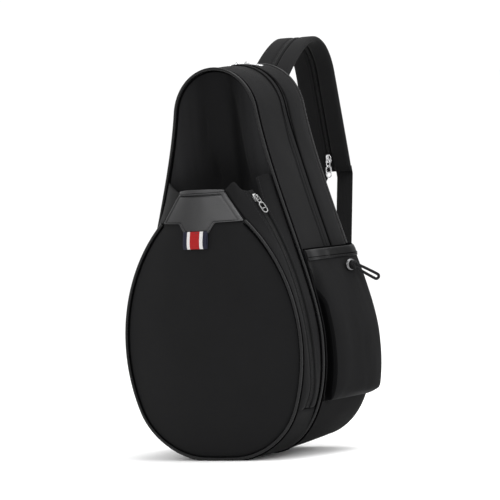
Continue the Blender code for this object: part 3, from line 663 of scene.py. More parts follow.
def teeth(name, pts, outs, body="bag", nodes=(), pitch=0.0017, wide=0.0021, tall=0.0014, long=0.0011):
    # two interleaved rows of coil teeth along a path
    verts, faces = [], []
    for k, (i, t) in enumerate(every(pts, 0.5 * pitch)):
        a, b = pts[i], pts[i + 1]
        at = a.lerp(b, t)
        run = (b - a).normalized()
        up = outs[i].lerp(outs[i + 1], t).normalized()
        side = run.cross(up).normalized() * (1 if k % 2 else -1)
        o = len(verts)
        for s2, w, h in ((-0.12, 0.35, 0.55), (0.45, 0.5, 1.0), (1.0, 0.42, 0.6)):
            c = at + side * (s2 * wide)
            for dx, dh in ((-w, -0.45 * h), (-w * 0.8, 0.4 * h), (w * 0.8, 0.4 * h), (w, -0.45 * h)):
                verts.append(c + run * (dx * long) + up * (dh * tall))
        for q in range(2):
            for j in range(4):
                faces.append((o + q * 4 + j, o + q * 4 + (j + 1) % 4, o + (q + 1) * 4 + (j + 1) % 4, o + (q + 1) * 4 + j))
        faces += [tuple(o + j for j in range(4)), tuple(o + 8 + j for j in range(4))]
    return piece(name, verts, faces, M_TEETH, body, nodes)


def band_grid(pts, ys, puff, closed=False):
    nor = inward(pts, closed)
    run = [0.0]
    for a, b in zip(pts, pts[1:]):
        run.append(run[-1] + math.dist(a, b))
    grid = []
    for i, (p, n) in enumerate(zip(pts, nor)):
        row = []
        for j, y in enumerate(ys):
            d = puff(run[i], j / (len(ys) - 1), p)
            row.append(Vector((p[0] - n[0] * d, y, p[1] - n[1] * d)))
        grid.append(row)
    return grid


def steps(a, b, n):
    return [a + (b - a) * i / (n - 1) for i in range(n)]


def band_line(pts, y, d, lift=0.0):
    # a line on a band at one y, with the outward direction at each point
    nor = inward(pts, False)
    line = [Vector((p[0] - n[0] * d, y, p[1] - n[1] * d)) for p, n in zip(pts, nor)]
    return line, [Vector((-n[0], 0, -n[1])) for n in nor]


# ---------------------------------------------------------------- main body
def gusset_puff(amp, seed):
    def f(s, v, p):
        lift = smooth(0.004, 0.045, p[1])
        swell = math.sin(math.pi * v) ** 0.7
        fold = noise.noise(Vector((s * 16, v * 1.6, seed))) * 0.0011 + noise.noise(Vector((s * 45, v * 2.5, seed + 9))) * 0.00035
        return lift * swell * (amp + fold) - 0.0001
    return f


Z_LO, Z_HI = ZIP_Y - 0.5 * ZIP_GAP, ZIP_Y + 0.5 * ZIP_GAP
P_FRONTG = gusset_puff(0.0015, 1.0)
P_REARG = gusset_puff(0.0012, 4.0)
P_BASEG = gusset_puff(0.0014, 7.0)
F_LINES = steps(Y_FRONT + 0.0004, Z_LO, 27)
front_band = band_grid(UPPER, F_LINES, P_FRONTG)
shell("gusset_rear_cloth", band_grid(UPPER, steps(Z_HI, Y_BACK - GAP, 11), P_REARG), 0.0022, M_CLOTH, nodes=["gusset_rear"], flip=True)


def pleat(y, z):
    # deep fold behind the front piping where the bottle pocket is sewn in
    u = (y - SIDE_Y0) / (SIDE_Y1 - SIDE_Y0)
    return bump(u, 0.085, 0.060) * smooth(0.080, 0.094, z) * smooth(0.262, 0.200, z)


def base_grid():
    fa, fb = inward(LOWER, False), inward(LOWER_REAR, False)
    run, grid = 0.0, []
    for i, (a, b) in enumerate(zip(LOWER, LOWER_REAR)):
        if i:
            run += math.dist(a, LOWER[i - 1])
        row = []
        for j in range(41):
            v = j / 40
            d = P_BASEG(run, v, (a[0], a[1]))
            p = [q + (r - q) * v for q, r in zip(a, b)]
            n = [q + (r - q) * v for q, r in zip(fa[i], fb[i])]
            y = Y_FRONT + 0.0004 + (Y_BACK - GAP - Y_FRONT - 0.0004) * v
            d -= 0.0125 * pleat(y, p[1]) if abs(p[0]) > 0.1 else 0.0
            row.append(Vector((p[0] - n[0] * d, y, p[1] - n[1] * d)))
        grid.append(row)
    return grid


# painted shade: this cloth is darker towards the floor
shell("gusset_base_cloth", base_grid(), 0.0022, M_BASE, nodes=["gusset_base"], flip=True)
for row in front_band:
    for j, y in enumerate(F_LINES):
        row[j].x -= math.copysign(0.0125 * pleat(y, row[j].z), row[j].x)
shell("gusset_front_cloth", front_band, 0.0022, M_CLOTH, nodes=["gusset_front"], flip=True)


# the flap lies close beside the slot where the sliders run and over it lower down
def flap_reach(z):
    return 0.0010 + 0.0044 * smooth(0.450, 0.370, z)


def flap_grid():
    nor = inward(UPPER, False)
    grid = []
    for p, n in zip(UPPER, nor):
        reach = flap_reach(p[1])
        row = []
        for j in range(9):
            v = j / 8
            y = (Z_LO - 0.0082) + (0.0082 + reach) * v
            d = 0.0014 + 0.0006 * math.sin(math.pi * v) + 0.0004 * smooth(0.7, 1.0, v)
            row.append(Vector((p[0] - n[0] * d, y, p[1] - n[1] * d)))
        grid.append(row)
    return grid


shell("zip_flap_cloth", flap_grid(), 0.0010, M_CLOTH, nodes=["zip_flap"], flip=True)
line, ups = band_line(UPPER, Z_LO - 0.0058, 0.0021)
stitches("zip_flap_stitches", line, ups)
# painted shade: dark tubes along the flap's edge and groove stand in for the shadow lines there
for tag, dy, d, r in (("edge", -0.0002, 0.0022, 0.0008), ("groove", -0.0082, 0.0016, 0.0005)):
    tube("zip_flap_" + tag, [(p[0] - n[0] * d, Z_LO + flap_reach(p[1]) + dy, p[1] - n[1] * d) for p, n in zip(UPPER, inward(UPPER, False))], r, M_PAINTED_SHADE)
line, ups = band_line(UPPER, Y_FRONT + 0.0040, 0.0004)
open_run = [i for i, q in enumerate(line) if q.z > 0.268]
stitches("gusset_front_stitches", [line[i] for i in open_run], [ups[i] for i in open_run])
line, ups = band_line(UPPER, Y_BACK - 0.0044, 0.0003)
stitches("gusset_rear_stitches", line, ups)
shell("main_zip_tape_front_cloth", band_grid(UPPER, steps(ZIP_Y - 0.0085, ZIP_Y - 0.0003, 5), lambda s, v, p: -0.0014), 0.0009, M_TAPE,
      nodes=["main_zip_tape_front"], flip=True)
shell("main_zip_tape_rear_cloth", band_grid(UPPER, steps(ZIP_Y + 0.0003, ZIP_Y + 0.0085, 5), lambda s, v, p: -0.0014), 0.0009, M_TAPE,
      nodes=["main_zip_tape_rear"], flip=True)
line, ups = band_line(UPPER, ZIP_Y, -0.0011)
teeth("main_zip_teeth", line, ups, nodes=["main_zip_coil"])

# piping round the front and back panels
mid = offset(RING, 0.5 * SKIN, True)
rear = offset(RING_REAR, 0.5 * SKIN, True)
tube("front_piping", [(x, Y_FRONT - PIPING_R - GAP, z + 0.0009) for x, z in mid], PIPING_R, M_PIPE, nodes=["body_front_piping"], closed=True)
# painted shade: thin dark tubes on both sides of the piping for the shadow in the seams beside it
tube("front_piping_shadow_out", [(x, Y_FRONT + 0.0004, z) for x, z in offset(RING, -0.0004, True)], 0.0010, M_PAINTED_SHADE, closed=True)
tube("front_piping_shadow_in", [(x, Y_FRONT - 0.0002, z) for x, z in offset(RING, 0.0038, True)], 0.0006, M_PAINTED_SHADE, closed=True)
tube("rear_piping", [(x, Y_BACK + PIPING_R, z + 0.0009) for x, z in rear], PIPING_R, M_PIPE, nodes=["body_rear_piping"], closed=True)


# front panel: slack cloth behind the piping, with soft folds running down into the pocket
def front_height(x, z, s):
    up = smooth(0.300, 0.345, z)
    slack = 0.0030 * (1 - s ** 5) + 0.0060 * up * bump(z, 0.350, 0.035) * (1 - s ** 4)
    lean = 0.022 + 0.10 * (0.47 - z)
    fold = 0.0058 * bump(x, lean, 0.0070) * smooth(0.325, 0.375, z) * smooth(0.492, 0.455, z)
    fold -= 0.0026 * bump(x, lean + 0.0125, 0.0060) * smooth(0.330, 0.380, z) * smooth(0.490, 0.440, z)
    fold += 0.0036 * bump(x, -0.0215 - 0.05 * (0.43 - z), 0.0050) * bump(z, 0.425, 0.036)
    fold -= 0.0022 * bump(x, -0.0330, 0.0090) * bump(z, 0.420, 0.050)
    fold += 0.0045 * bump(x, -0.0110, 0.0060) * bump(z, 0.366, 0.022)
    fold += 0.0016 * noise.noise(Vector((x * 38, z * 14, 3.0))) * up
    return Y_FRONT + 0.0004 + slack + fold * (1 - s ** 8)


# painted light and shade: the panel's cloth is lighter at its side edges and darker in a band at the fold
panel("front_panel_cloth", offset(RING, SKIN + GAP, True), (0.0, 0.30), front_height, 0.0020, 1.0, M_FRONT, ["front_panel"], 44)


# back panel: foam under air mesh, sewn into channels
def back_height(x, z, s):
    edge = 0.0035 * smooth(0.90, 1.0, s)
    groove = 0.0032 * (bump(x, 0.0, 0.0028) * smooth(0.40, 0.37, z) + bump(z, 0.145, 0.0026) + bump(z, 0.265, 0.0026)
                       + bump(z, 0.385, 0.0026)) * smooth(1.0, 0.86, s)
    return Y_BACK - GAP - 0.0002 - edge - min(groove, 0.0034)


panel("back_panel_pad", offset(RING_REAR, SKIN + GAP, True), (0.0, 0.22), back_height, 0.0055, -1.0, M_MESH, ["back_panel"], 60)

# ---------------------------------------------------------------- front pocket
def pocket_height(x, z, s):
    wave_ = 0.0007 * noise.noise(Vector((x * 22, z * 18, 5.0))) * (1 - s ** 4)
    lip = 0.0016 * smooth(0.955, 1.0, s) * smooth(0.33, 0.30, z)
    return Y_POCKET + 0.0003 - crown(x, z) + wave_ * smooth(0.30, 0.25, z) + lip


panel("pocket_panel_cloth", offset(P_RING, 0.0012, True), (0.0, 0.165), pocket_height, 0.0022, 1.0, M_CLOTH, ["pocket_front_panel"], 40)
tube("pocket_piping_tube", [(x, Y_POCKET - PIPING_R - 0.0002, z + 0.0009) for x, z in offset(P_OPEN, 0.5 * SKIN, False)], PIPING_R, M_PIPE, nodes=["pocket_piping"])
# painted shade: thin dark tubes on both sides of the pocket piping for the shadow in the seams beside it
tube("pocket_piping_shadow_out", [(x, Y_POCKET - 0.0002, max(z, POCKET_BASE_Z + 0.0010)) for x, z in offset(P_OPEN, -0.0004, False)], 0.0009, M_PAINTED_SHADE)
tube("pocket_piping_shadow_in", [(x, Y_POCKET - 0.0006 - crown(x, z), z) for x, z in offset(P_OPEN, 0.0040, False)], 0.0007, M_PAINTED_SHADE)
# painted shade: this cloth is darker towards the floor
shell("pocket_base_cloth", band_grid(P_BASE, steps(Y_POCKET, Y_ROOT + 0.0010, 17),
                                     lambda s, v, p: smooth(0.0135, 0.05, p[1]) * 0.0012 * math.sin(math.pi * v) ** 0.7
                                     + 0.0034 * v ** 1.5 * bump(abs(p[0]), 0.084, 0.026)), 0.0022, M_UNDER,
      nodes=["pocket_gusset_base"], flip=True)


def flank_rails(n=90):
    body = offset(LOW + SIDE + ARCH, 0.0048, False)
    body = [p for p in body if P_FLANK[0][1] <= p[1] <= STRIP_TOP_Z]
    z0, z1 = math.asin((P_FLANK[0][1] + 0.001 - PZIP_Z) / PZIP_R), math.asin((PZIP_TOP_Z - PZIP_Z) / PZIP_R)
    front, slot, seam = [], [], []
    for i in range(n):
        t = i / (n - 1)
        a = z0 + (z1 - z0) * t
        x, z = along(P_FLANK, t)
        front.append(Vector((x, Y_POCKET, z)))
        zip_z = PZIP_Z + PZIP_R * math.sin(a)
        curl = PZIP_FOOT_CURL * max(0.0, PZIP_FOOT_Z - zip_z) ** 2
        slot.append((a, Vector((PZIP_X + PZIP_R * math.cos(a) - curl, PZIP_Y, zip_z))))
        x, z = along(body, t)
        seam.append(Vector((x, Y_FRONT - 0.0034, z)))
    return front, slot, seam


def beside(slot, d, sink=0.0):
    out = []
    for a, p in slot:
        lean = Vector((math.cos(PZIP_TILT) * math.cos(a), -math.sin(PZIP_TILT), math.cos(PZIP_TILT) * math.sin(a)))
        out.append(p + d * Vector((math.sin(PZIP_TILT) * math.cos(a), math.cos(PZIP_TILT), math.sin(PZIP_TILT) * math.sin(a))) - lean * sink)
    return out


FRONT, SLOT, SEAM = flank_rails()
LEANS = [Vector((math.cos(PZIP_TILT) * math.cos(a), -math.sin(PZIP_TILT), math.cos(PZIP_TILT) * math.sin(a))) for a, p in SLOT]


def strip_grid(ra, rc, cols, puff, seed):
    grid = []
    n = len(ra)
    for i in range(n):
        lo, hi = max(i - 1, 0), min(i + 1, n - 1)
        run = (ra[hi] + rc[hi] - ra[lo] - rc[lo]).normalized()
        out = run.cross(rc[i] - ra[i]).normalized()
        if out.x * ra[i].x < 0:
            out = -out
        row = []
        for j in range(cols):
            v = j / (cols - 1)
            d = puff * math.sin(math.pi * v) ** 0.75 + 0.0009 * noise.noise(Vector((i * 0.09, v * 1.5, seed))) * math.sin(math.pi * v)
            row.append(ra[i].lerp(rc[i], v) + out * d)
        grid.append(row)
    return grid


front_grid = strip_grid(FRONT, beside(SLOT, -0.0036), 13, 0.0018, 11.0)
rear_grid = strip_grid(beside(SLOT, 0.0043), SEAM, 13, 0.0015, 13.0)
left_grid = strip_grid([Vector((-p.x, p.y, p.z)) for p in FRONT], [Vector((-p.x, p.y, p.z)) for p in SEAM], 21, 0.0028, 15.0)
# the front strip's top corner stands up a little beside the mouth
for k in range(9):
    i = len(front_grid) - 9 + k
    for j in range(13):
        front_grid[i][j] = front_grid[i][j] + Vector((0.002, 0.0, 0.011)) * (k / 8) ** 2 * bump(j / 12, 0.34, 0.28)
        rear_grid[i][j] = rear_grid[i][j] + Vector((0.0, 0.0090, 0.0135)).lerp(Vector((-0.0020, 0.0, 0.0070)), j / 12) * (k / 8) ** 1.5
shell("pocket_flank_front_cloth", front_grid, 0.0018, M_CLOTH, nodes=["pocket_gusset_front"], flip=True)
shell("pocket_flank_rear_cloth", rear_grid, 0.0018, M_CLOTH, nodes=["pocket_gusset_rear"], flip=True)
shell("pocket_flank_left_cloth", left_grid, 0.0018, M_CLOTH, nodes=["pocket_gusset_left"])
zip_line = beside(SLOT, 0.0, 0.0011)
shell("pocket_zip_tape_cloth", [list(r) for r in zip(beside(SLOT, -0.0045, 0.0011), beside(SLOT, -0.0015, 0.0014), beside(SLOT, 0.0015, 0.0014), beside(SLOT, 0.0045, 0.0011))],
      0.0009, M_TAPE, nodes=["pocket_zip_tape"], flip=True)
teeth("pocket_zip_teeth", zip_line, LEANS, nodes=["pocket_zip_coil"])
for nm, g, j in (("front", front_grid, 10), ("rear", rear_grid, 2)):
    nor = grid_normals(g, False)
    ln = [g[i][j] for i in range(len(g))]
    up = [(n[j] if n[j].x > 0 else -n[j]) for n in nor]
    stitches("pocket_zip_stitches_" + nm, ln, up)

# leather patch: folded rim, edge stitching, small drop tab
half = [(TAB_HALF, TAB_LOW), (TAB_HALF + 0.009, PATCH_LOW_Z), (P_CORNER[0] - 0.0030, PATCH_LOW_Z + 0.0002),
        (POCKET_MOUTH_HALF - 0.0002, POCKET_MOUTH_Z)]
corners = half + mirrored(half, False)


def rounded(pts, r, n=6):
    out = []
    m = len(pts)
    for i in range(m):
        p, a, b = Vector(pts[i]), Vector(pts[i - 1]), Vector(pts[(i + 1) % m])
        u, v = (a - p).normalized(), (b - p).normalized()
        for k in range(n + 1):
            t = k / n
            out.append(tuple(p + u * r * (1 - t) ** 2 + v * r * t ** 2))
    return out


def fill_edges(pts, step):
    out = []
    m = len(pts)
    for i in range(m):
        a, b = Vector(pts[i]), Vector(pts[(i + 1) % m])
        k = max(1, int((b - a).length / step))
        out += [tuple(a.lerp(b, q / k)) for q in range(k)]
    return out


patch_ring = fill_edges(rounded(corners, 0.0022), 0.0030)


def patch_height(x, z, s):
    rim = 0.0011 * smooth(0.90, 0.955, s) - 0.0016 * smooth(0.985, 1.0, s)
    dent = 0.0009 * bump(s, 0.885, 0.02)
    roll = 0.0014 * bump(z, 0.3425, 0.0012)
    soft = 0.0005 * noise.noise(Vector((x * 40, z * 40, 2.0)))
    return Y_POCKET - 0.0014 - crown(x, z) - 0.0007 * (1 - s ** 4) - rim + dent + roll + soft


# painted shade: the patch leather is darker towards its left side
panel("leather_patch_cover", patch_ring, (0.0, 0.322), patch_height, 0.0014, 1.0, M_LEATHER, ["leather_patch"], 40)
inner_ring = [(0.0 + p[0] * 0.925, 0.322 + (p[1] - 0.322) * 0.90) for p in patch_ring]
ln = [Vector((x, patch_height(x, z, 0.9) - 0.0002, z)) for x, z in inner_ring + inner_ring[:1]]
stitches("leather_patch_stitches", ln, [Vector((0, -1, 0))] * len(ln), pitch=0.0034, length=0.0024, r=0.00030)


def mouth_path():
    out = []
    for i in range(25):
        x = -0.0335 + 0.067 * i / 24
        out.append(Vector((x, Y_POCKET - 0.0006 - crown(x, POCKET_MOUTH_Z), POCKET_MOUTH_Z + 0.0014 + 0.0008 * math.sin(math.pi * i / 24))))
    return out


# painted shade: the roll's leather is darker towards its left side
sweep("mouth_roll", mouth_path(), 14,
      lambda i, a: Vector((0, math.cos(a) * 0.0020, math.sin(a) * 0.0025)) * (0.45 + 0.55 * min(1.0, 4 * min(i, 24 - i) / 24) ** 0.5), M_LEATHER, nodes=["mouth_binding"])


# ribbon loop: folded over, bowed forwards at the fold
def ribbon_grid():
    grid = []
    for i in range(30):
        t = i / 29
        row = []
        for j in range(17):
            x = -0.0178 + 0.0356 * j / 16
            if t < 0.5:
                q = t / 0.5
                z = TAB_LOW + 0.003 - 0.0215 * math.sin(0.5 * math.pi * q)
                y = Y_POCKET - 0.0026 - crown(0.6 * x, z) - 0.0018 * math.sin(math.pi * q) - 0.0004 * math.cos(2 * math.pi * j / 16)
            else:
                q = (t - 0.5) / 0.5
                z = TAB_LOW + 0.003 - 0.0215 * math.cos(0.5 * math.pi * q)
                y = Y_POCKET - 0.0026 - crown(0.6 * x, z) + 0.0016 * math.sin(0.5 * math.pi * q)
            row.append(Vector((x, y, z)))
        grid.append(row)
    return grid


rib = shell("ribbon_loop_cloth", ribbon_grid(), 0.0005, M_RIBBON, nodes=["ribbon_loop"])
lay = rib.data.uv_layers[0].data
for lp in rib.data.loops:
    co = rib.data.vertices[lp.vertex_index].co
    lay[lp.index].uv = ((co.x + 0.0178) / 0.0356, (co.z + GROUND - 0.27) / 0.03)


# ---------------------------------------------------------------- bottle pockets
def pocket_out(u, z):
    v = (z - SIDE_Z0) / (SIDE_Z1 - SIDE_Z0)
    rise = min(1.0, v / 0.05) ** 0.5 * (SIDE_BULGE_LOW + (SIDE_BULGE_TOP - SIDE_BULGE_LOW) * v)
    if u < SIDE_PEAK:
        across = 0.5 - 0.5 * math.cos(math.pi * u / SIDE_PEAK)
    else:
        across = math.cos(0.5 * math.pi * (u - SIDE_PEAK) / (1 - SIDE_PEAK)) ** 0.6
    return half_width(z) + GAP + 0.0004 + rise * max(0.0, across)


def side_soft(u, z):
    v = (z - SIDE_Z0) / (SIDE_Z1 - SIDE_Z0)
    w = math.sin(math.pi * min(1, u)) ** 0.8
    d = 0.0012 * noise.noise(Vector((u * 5.5, z * 14, 21.0))) + 0.0006 * noise.noise(Vector((u * 14, z * 26, 22.0)))
    d -= 0.0014 * bump(v, 0.90, 0.07) * bump(u, 0.45, 0.25)
    d += 0.0042 * bump(u, 0.27, 0.11) * smooth(0.0, 0.12, v) * smooth(1.0, 0.55, v)
    return w * d - 0.0125 * pleat(SIDE_Y0 + (SIDE_Y1 - SIDE_Y0) * u, z)


US = [0.26 * i / 26 for i in range(26)] + [0.26 + (SIDE_PEAK - 0.26) * i / 26 for i in range(27)] + [SIDE_PEAK + (1 - SIDE_PEAK) * (1 - (1 - i / 12) ** 1.8) for i in range(1, 13)]
ZS = [SIDE_Z0 + 0.0083 * (i / 7) ** 2 for i in range(8)] + [SIDE_Z0 + 0.0083 + (SIDE_Z1 - SIDE_Z0 - 0.0083) * i / 40 for i in range(1, 41)]
KNOTS = {}
for side, sign in (("right", 1), ("left", -1)):
    grid = [[Vector((sign * (pocket_out(u, z) + 0.0019 + side_soft(u, z)), SIDE_Y0 + (SIDE_Y1 - SIDE_Y0) * u, z)) for u in US] for z in ZS]
    shell("side_pocket_cloth_" + side, grid, 0.0017, M_CLOTH, nodes=["side_pocket_" + side], flip=sign > 0)
    # painted shade: a black sheet in the fold behind the piping, standing in for the shadow there
    grid = []
    for z in steps(SIDE_Z0 + 0.0006, 0.238, 60):
        reach = 0.010 + 0.128 * smooth(0.242, 0.196, z) ** 0.8 + 0.010 * smooth(0.200, 0.085, z)
        grid.append([Vector((sign * (pocket_out(u, z) + 0.0024 + side_soft(u, z)), SIDE_Y0 + (SIDE_Y1 - SIDE_Y0) * u, z)) for u in steps(0.002, reach, 15)])
    shell("side_pocket_painted_shade_" + side, grid, 0.0004, M_PAINTED_SHADE, flip=sign > 0)
    # painted shade: a less dark sheet reaching a little further, for the soft edge of the shadow in the fold
    grid = []
    for z in steps(SIDE_Z0 + 0.0004, 0.244, 60):
        reach = 0.016 + 0.146 * smooth(0.248, 0.196, z) ** 0.8 + 0.016 * smooth(0.200, 0.085, z)
        grid.append([Vector((sign * (pocket_out(u, z) + 0.0021 + side_soft(u, z)), SIDE_Y0 + (SIDE_Y1 - SIDE_Y0) * u, z)) for u in steps(0.002, reach, 15)])
    shell("side_pocket_painted_half_shade_" + side, grid, 0.0003, M_PAINTED_HALF_SHADE, flip=sign > 0)
    fold = [(0.0030, -0.0122), (0.0035, -0.0110), (0.0038, -0.0070), (0.0037, -0.0030), (0.0033, -0.0002), (0.0022, 0.0012), (0.0008, 0.0010),
            (-0.0001, -0.0004), (-0.0003, -0.0060)]
    grid = []
    for u in US:
        base = SIDE_Y0 + (SIDE_Y1 - SIDE_Y0) * u
        grid.append([Vector((sign * (pocket_out(u, min(SIDE_Z1, SIDE_Z1 + dz)) + d + side_soft(u, min(SIDE_Z1, SIDE_Z1 + dz))), base, SIDE_Z1 + dz)) for d, dz in fold])
    # painted highlights and painted shade: the binding is lighter near its ends and darker between
    shell("side_binding_leather_" + side, grid, 0.0007, M_BIND, nodes=["side_binding_" + side], flip=sign < 0)
    # painted shade: a dark tube along the mouth for the shadow gap above the binding
    tube("side_mouth_painted_shade_" + side, [(sign * (pocket_out(u, SIDE_Z1) - 0.0004 + side_soft(u, SIDE_Z1)), SIDE_Y0 + (SIDE_Y1 - SIDE_Y0) * u, SIDE_Z1 + 0.0016) for u in US[1:-1]],
         0.0012, M_PAINTED_SHADE)
    # painted shade: a thin dark tube for the shadowed crease along the binding
    tube("side_binding_crease_shadow_" + side, [(sign * (pocket_out(u, SIDE_Z1 - 0.0082) + 0.0044 + side_soft(u, SIDE_Z1 - 0.0082)), SIDE_Y0 + (SIDE_Y1 - SIDE_Y0) * u, SIDE_Z1 - 0.0082) for u in US[1:-1]],
         0.00032, M_PAINTED_SHADE)
    ln = [Vector((sign * (pocket_out(u, SIDE_Z1 - 0.0098) + 0.0038 + side_soft(u, SIDE_Z1 - 0.0098)), SIDE_Y0 + (SIDE_Y1 - SIDE_Y0) * u, SIDE_Z1 - 0.0098)) for u in US]
    stitches("side_binding_stitches_" + side, ln, [Vector((sign, 0, 0))] * len(ln), pitch=0.0036, length=0.0026)
    # eyelet: rolled ring on a washer
    lo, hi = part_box("eyelet_" + side)
    at = 0.5 * (lo + hi) + Vector((0, 0, GROUND))
    slope = (pocket_out(EYE_U + 0.01, EYE_Z) - pocket_out(EYE_U - 0.01, EYE_Z)) / (0.02 * (SIDE_Y1 - SIDE_Y0))
    en = Vector((sign, -slope, 0)).normalized()
    es = Vector((sign * slope, 1, 0)).normalized()
    prof = [(0.0040, -0.0012), (0.0040, 0.0004), (0.0045, 0.0013), (0.0054, 0.0017), (0.0064, 0.0013), (0.0074, 0.0003), (0.0077, -0.0010), (0.0077, -0.0016), (0.0060, -0.0018)]
    verts, faces = [], []
    for i in range(40):
        a = 2 * math.pi * i / 40
        for r, h in prof:
            verts.append(at + en * h + es * (math.cos(a) * r) + Vector((0, 0, math.sin(a) * r)))
    m = len(prof)
    for i in range(40):
        for j in range(m):
            a, b = i * m + j, i * m + (j + 1) % m
            c = ((i + 1) % 40) * m
            faces.append((a, b, c + (j + 1) % m, c + j))
    piece("eyelet_ring_" + side, verts, faces, M_EYE, nodes=["eyelet_" + side])
    lo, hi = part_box("cord_knot_" + side)
    at = 0.5 * (lo + hi) + Vector((0, 0, GROUND))
    at = at + es * 0.0022 + en * 0.0010
    KNOTS[side] = at
    knot = []
    for i in range(60):
        a = 2 * math.pi * i / 60
        k = Vector((math.sin(3 * a) * 0.55, math.sin(a) + 2 * math.sin(2 * a), math.cos(a) - 2 * math.cos(2 * a)))
        knot.append(at + Vector((sign * k.x * 0.0022, k.y * 0.00135, k.z * 0.00165)))
    tube("cord_knot_tie_" + side, knot, 0.00185, M_CORD, nodes=["cord_knot_" + side], closed=True)
    flip = Matrix.Diagonal((sign, 1, 1)).to_3x3()
    d3 = flip @ Vector((0.60, 0.60, -0.53)).normalized()
    w3 = d3.cross(flip @ Vector((0.574, -0.819, 0.0))).normalized()
    start = at + d3 * 0.0064
    straight = LOOP_LEN - LOOP_R
    leg = [(straight * t, LOOP_R - 0.0008 * (1 - t) ** 2) for t in steps(0.0, 0.94, 16)]
    tip = [(straight + LOOP_R * math.sin(math.pi * i / 24), LOOP_R * math.cos(math.pi * i / 24)) for i in range(25)]
    # the two ends run in under the knot
    ends = [(-0.0040, 0.0019), (-0.0022, 0.0021)]
    plan = ends + leg + tip + [(r, -h) for r, h in reversed(ends + leg)]
    route = [start + d3 * r + w3 * h for r, h in plan]
    cord = tube("elastic_cord_" + side, route, CORD_R, M_CORD, nodes=["cord_" + side])


# ---------------------------------------------------------------- strap
def strap_path():
    foot = [(0.0063, 0.430), (0.0064, 0.442), (0.0067, 0.454)]
    hump = bezier((0.0082, 0.466), (0.0180, 0.478), (0.0520, 0.5150), (0.0815, 0.5240), 22)
    bow = bezier((0.0815, 0.5240), (0.1020, 0.5300), (0.1205, 0.5105), STRAP_BEND, 18)
    fall = [tuple(a + (b - a) * t for a, b in zip(STRAP_BEND, STRAP_LOW)) for t in [i / 20 for i in range(21)]]
    return [Vector((0, Y_BACK + y, z)) for y, z in foot + hump + bow + fall]


PATH = strap_path()
NP = len(PATH)
P_NOR = []
for i in range(NP):
    d = (PATH[min(i + 1, NP - 1)] - PATH[max(i - 1, 0)]).normalized()
    P_NOR.append(Vector((0, d.z, -d.y)))      # towards the bag on the way down
for side, sign in (("right", 1), ("left", -1)):
    c, hw = 0.5 * (STRAP_SLOT + STRAP_HALF), 0.5 * (STRAP_HALF - STRAP_SLOT)

    def pad(i, a):
        cx, sx = math.cos(a), math.sin(a)
        x = math.copysign(abs(cx) ** 0.42, cx) * hw
        flat = smooth(0, 4, i) * 0.55 + 0.45
        n = math.copysign(abs(sx) ** 0.62, sx) * (0.5 * STRAP_T - 0.0004) * flat
        e = abs(x) / hw
        n *= 1 - 0.30 * smooth(0.70, 0.98, e) + 0.05 * noise.noise(Vector((i * 0.16, cx * 2, sign * 3)))
        tip = 0.60 + 0.40 * smooth(0, 3, NP - 1 - i)
        return Vector((sign * (c + x), 0, 0)) + P_NOR[i] * n * tip

    ob = sweep("strap_pad_cloth_" + side, PATH, 36, pad, M_STRAP, nodes=["strap_pad_" + side])
    for face in (1, -1):
        for tag, x in (("outer", STRAP_HALF - 0.0042), ("inner", STRAP_SLOT + 0.0042)):
            ln = [PATH[i] + Vector((sign * x, 0, 0)) + P_NOR[i] * (face * (0.5 * STRAP_T - 0.0010)) for i in range(6, NP - 1)]
            stitches("strap_stitches_%s_%s_%d" % (side, tag, face > 0), ln, [P_NOR[i] * face for i in range(6, NP - 1)])
verts = [[PATH[i] + Vector((x, 0, 0)) + P_NOR[i] * 0.0009 for x in (-0.0041, -0.0013, 0.0013, 0.0041)] for i in range(NP)]
shell("strap_zip_tape_cloth", verts, 0.0036, M_TAPE, nodes=["strap_zip_tape"])
teeth("strap_zip_teeth_in", [PATH[i] + P_NOR[i] * 0.0014 for i in range(4, NP)], [P_NOR[i] for i in range(4, NP)])
teeth("strap_zip_teeth_out", [PATH[i] - P_NOR[i] * 0.0028 for i in range(4, NP)], [-P_NOR[i] for i in range(4, NP)])


# sewn patches: strap root and lower anchors
def patch_grid(cx, cz, w, h, y, bow, rows=17, cols=21, taper=0.0):
    grid = []
    for i in range(rows):
        t = i / (rows - 1)
        row = []
        for j in range(cols):
            s = 2 * j / (cols - 1) - 1
            edge = max(abs(s), abs(2 * t - 1))
            ww = w * (1 - taper * t)
            row.append(Vector((cx + s * 0.5 * ww, y + bow * (1 - edge ** 4), cz + (t - 0.5) * h)))
        grid.append(row)
    return grid


def box_cross(name, cx, cz, w, h, y):
    a = [Vector((cx + sx * w / 2, y, cz + sz * h / 2)) for sx, sz in ((-1, -1), (1, -1), (1, 1), (-1, 1), (-1, -1), (1, 1))]
    b = [Vector((cx - w / 2, y, cz + h / 2)), Vector((cx + w / 2, y, cz - h / 2))]
    for k, pts in enumerate((a, b)):
        dense = []
        for p, q in zip(pts, pts[1:]):
            dense += [p.lerp(q, i / 8) for i in range(8)]
        dense.append(pts[-1])
        stitches("%s_%d" % (name, k), dense, [Vector((0, 1, 0))] * len(dense), pitch=0.0032, length=0.0023, r=0.0003)


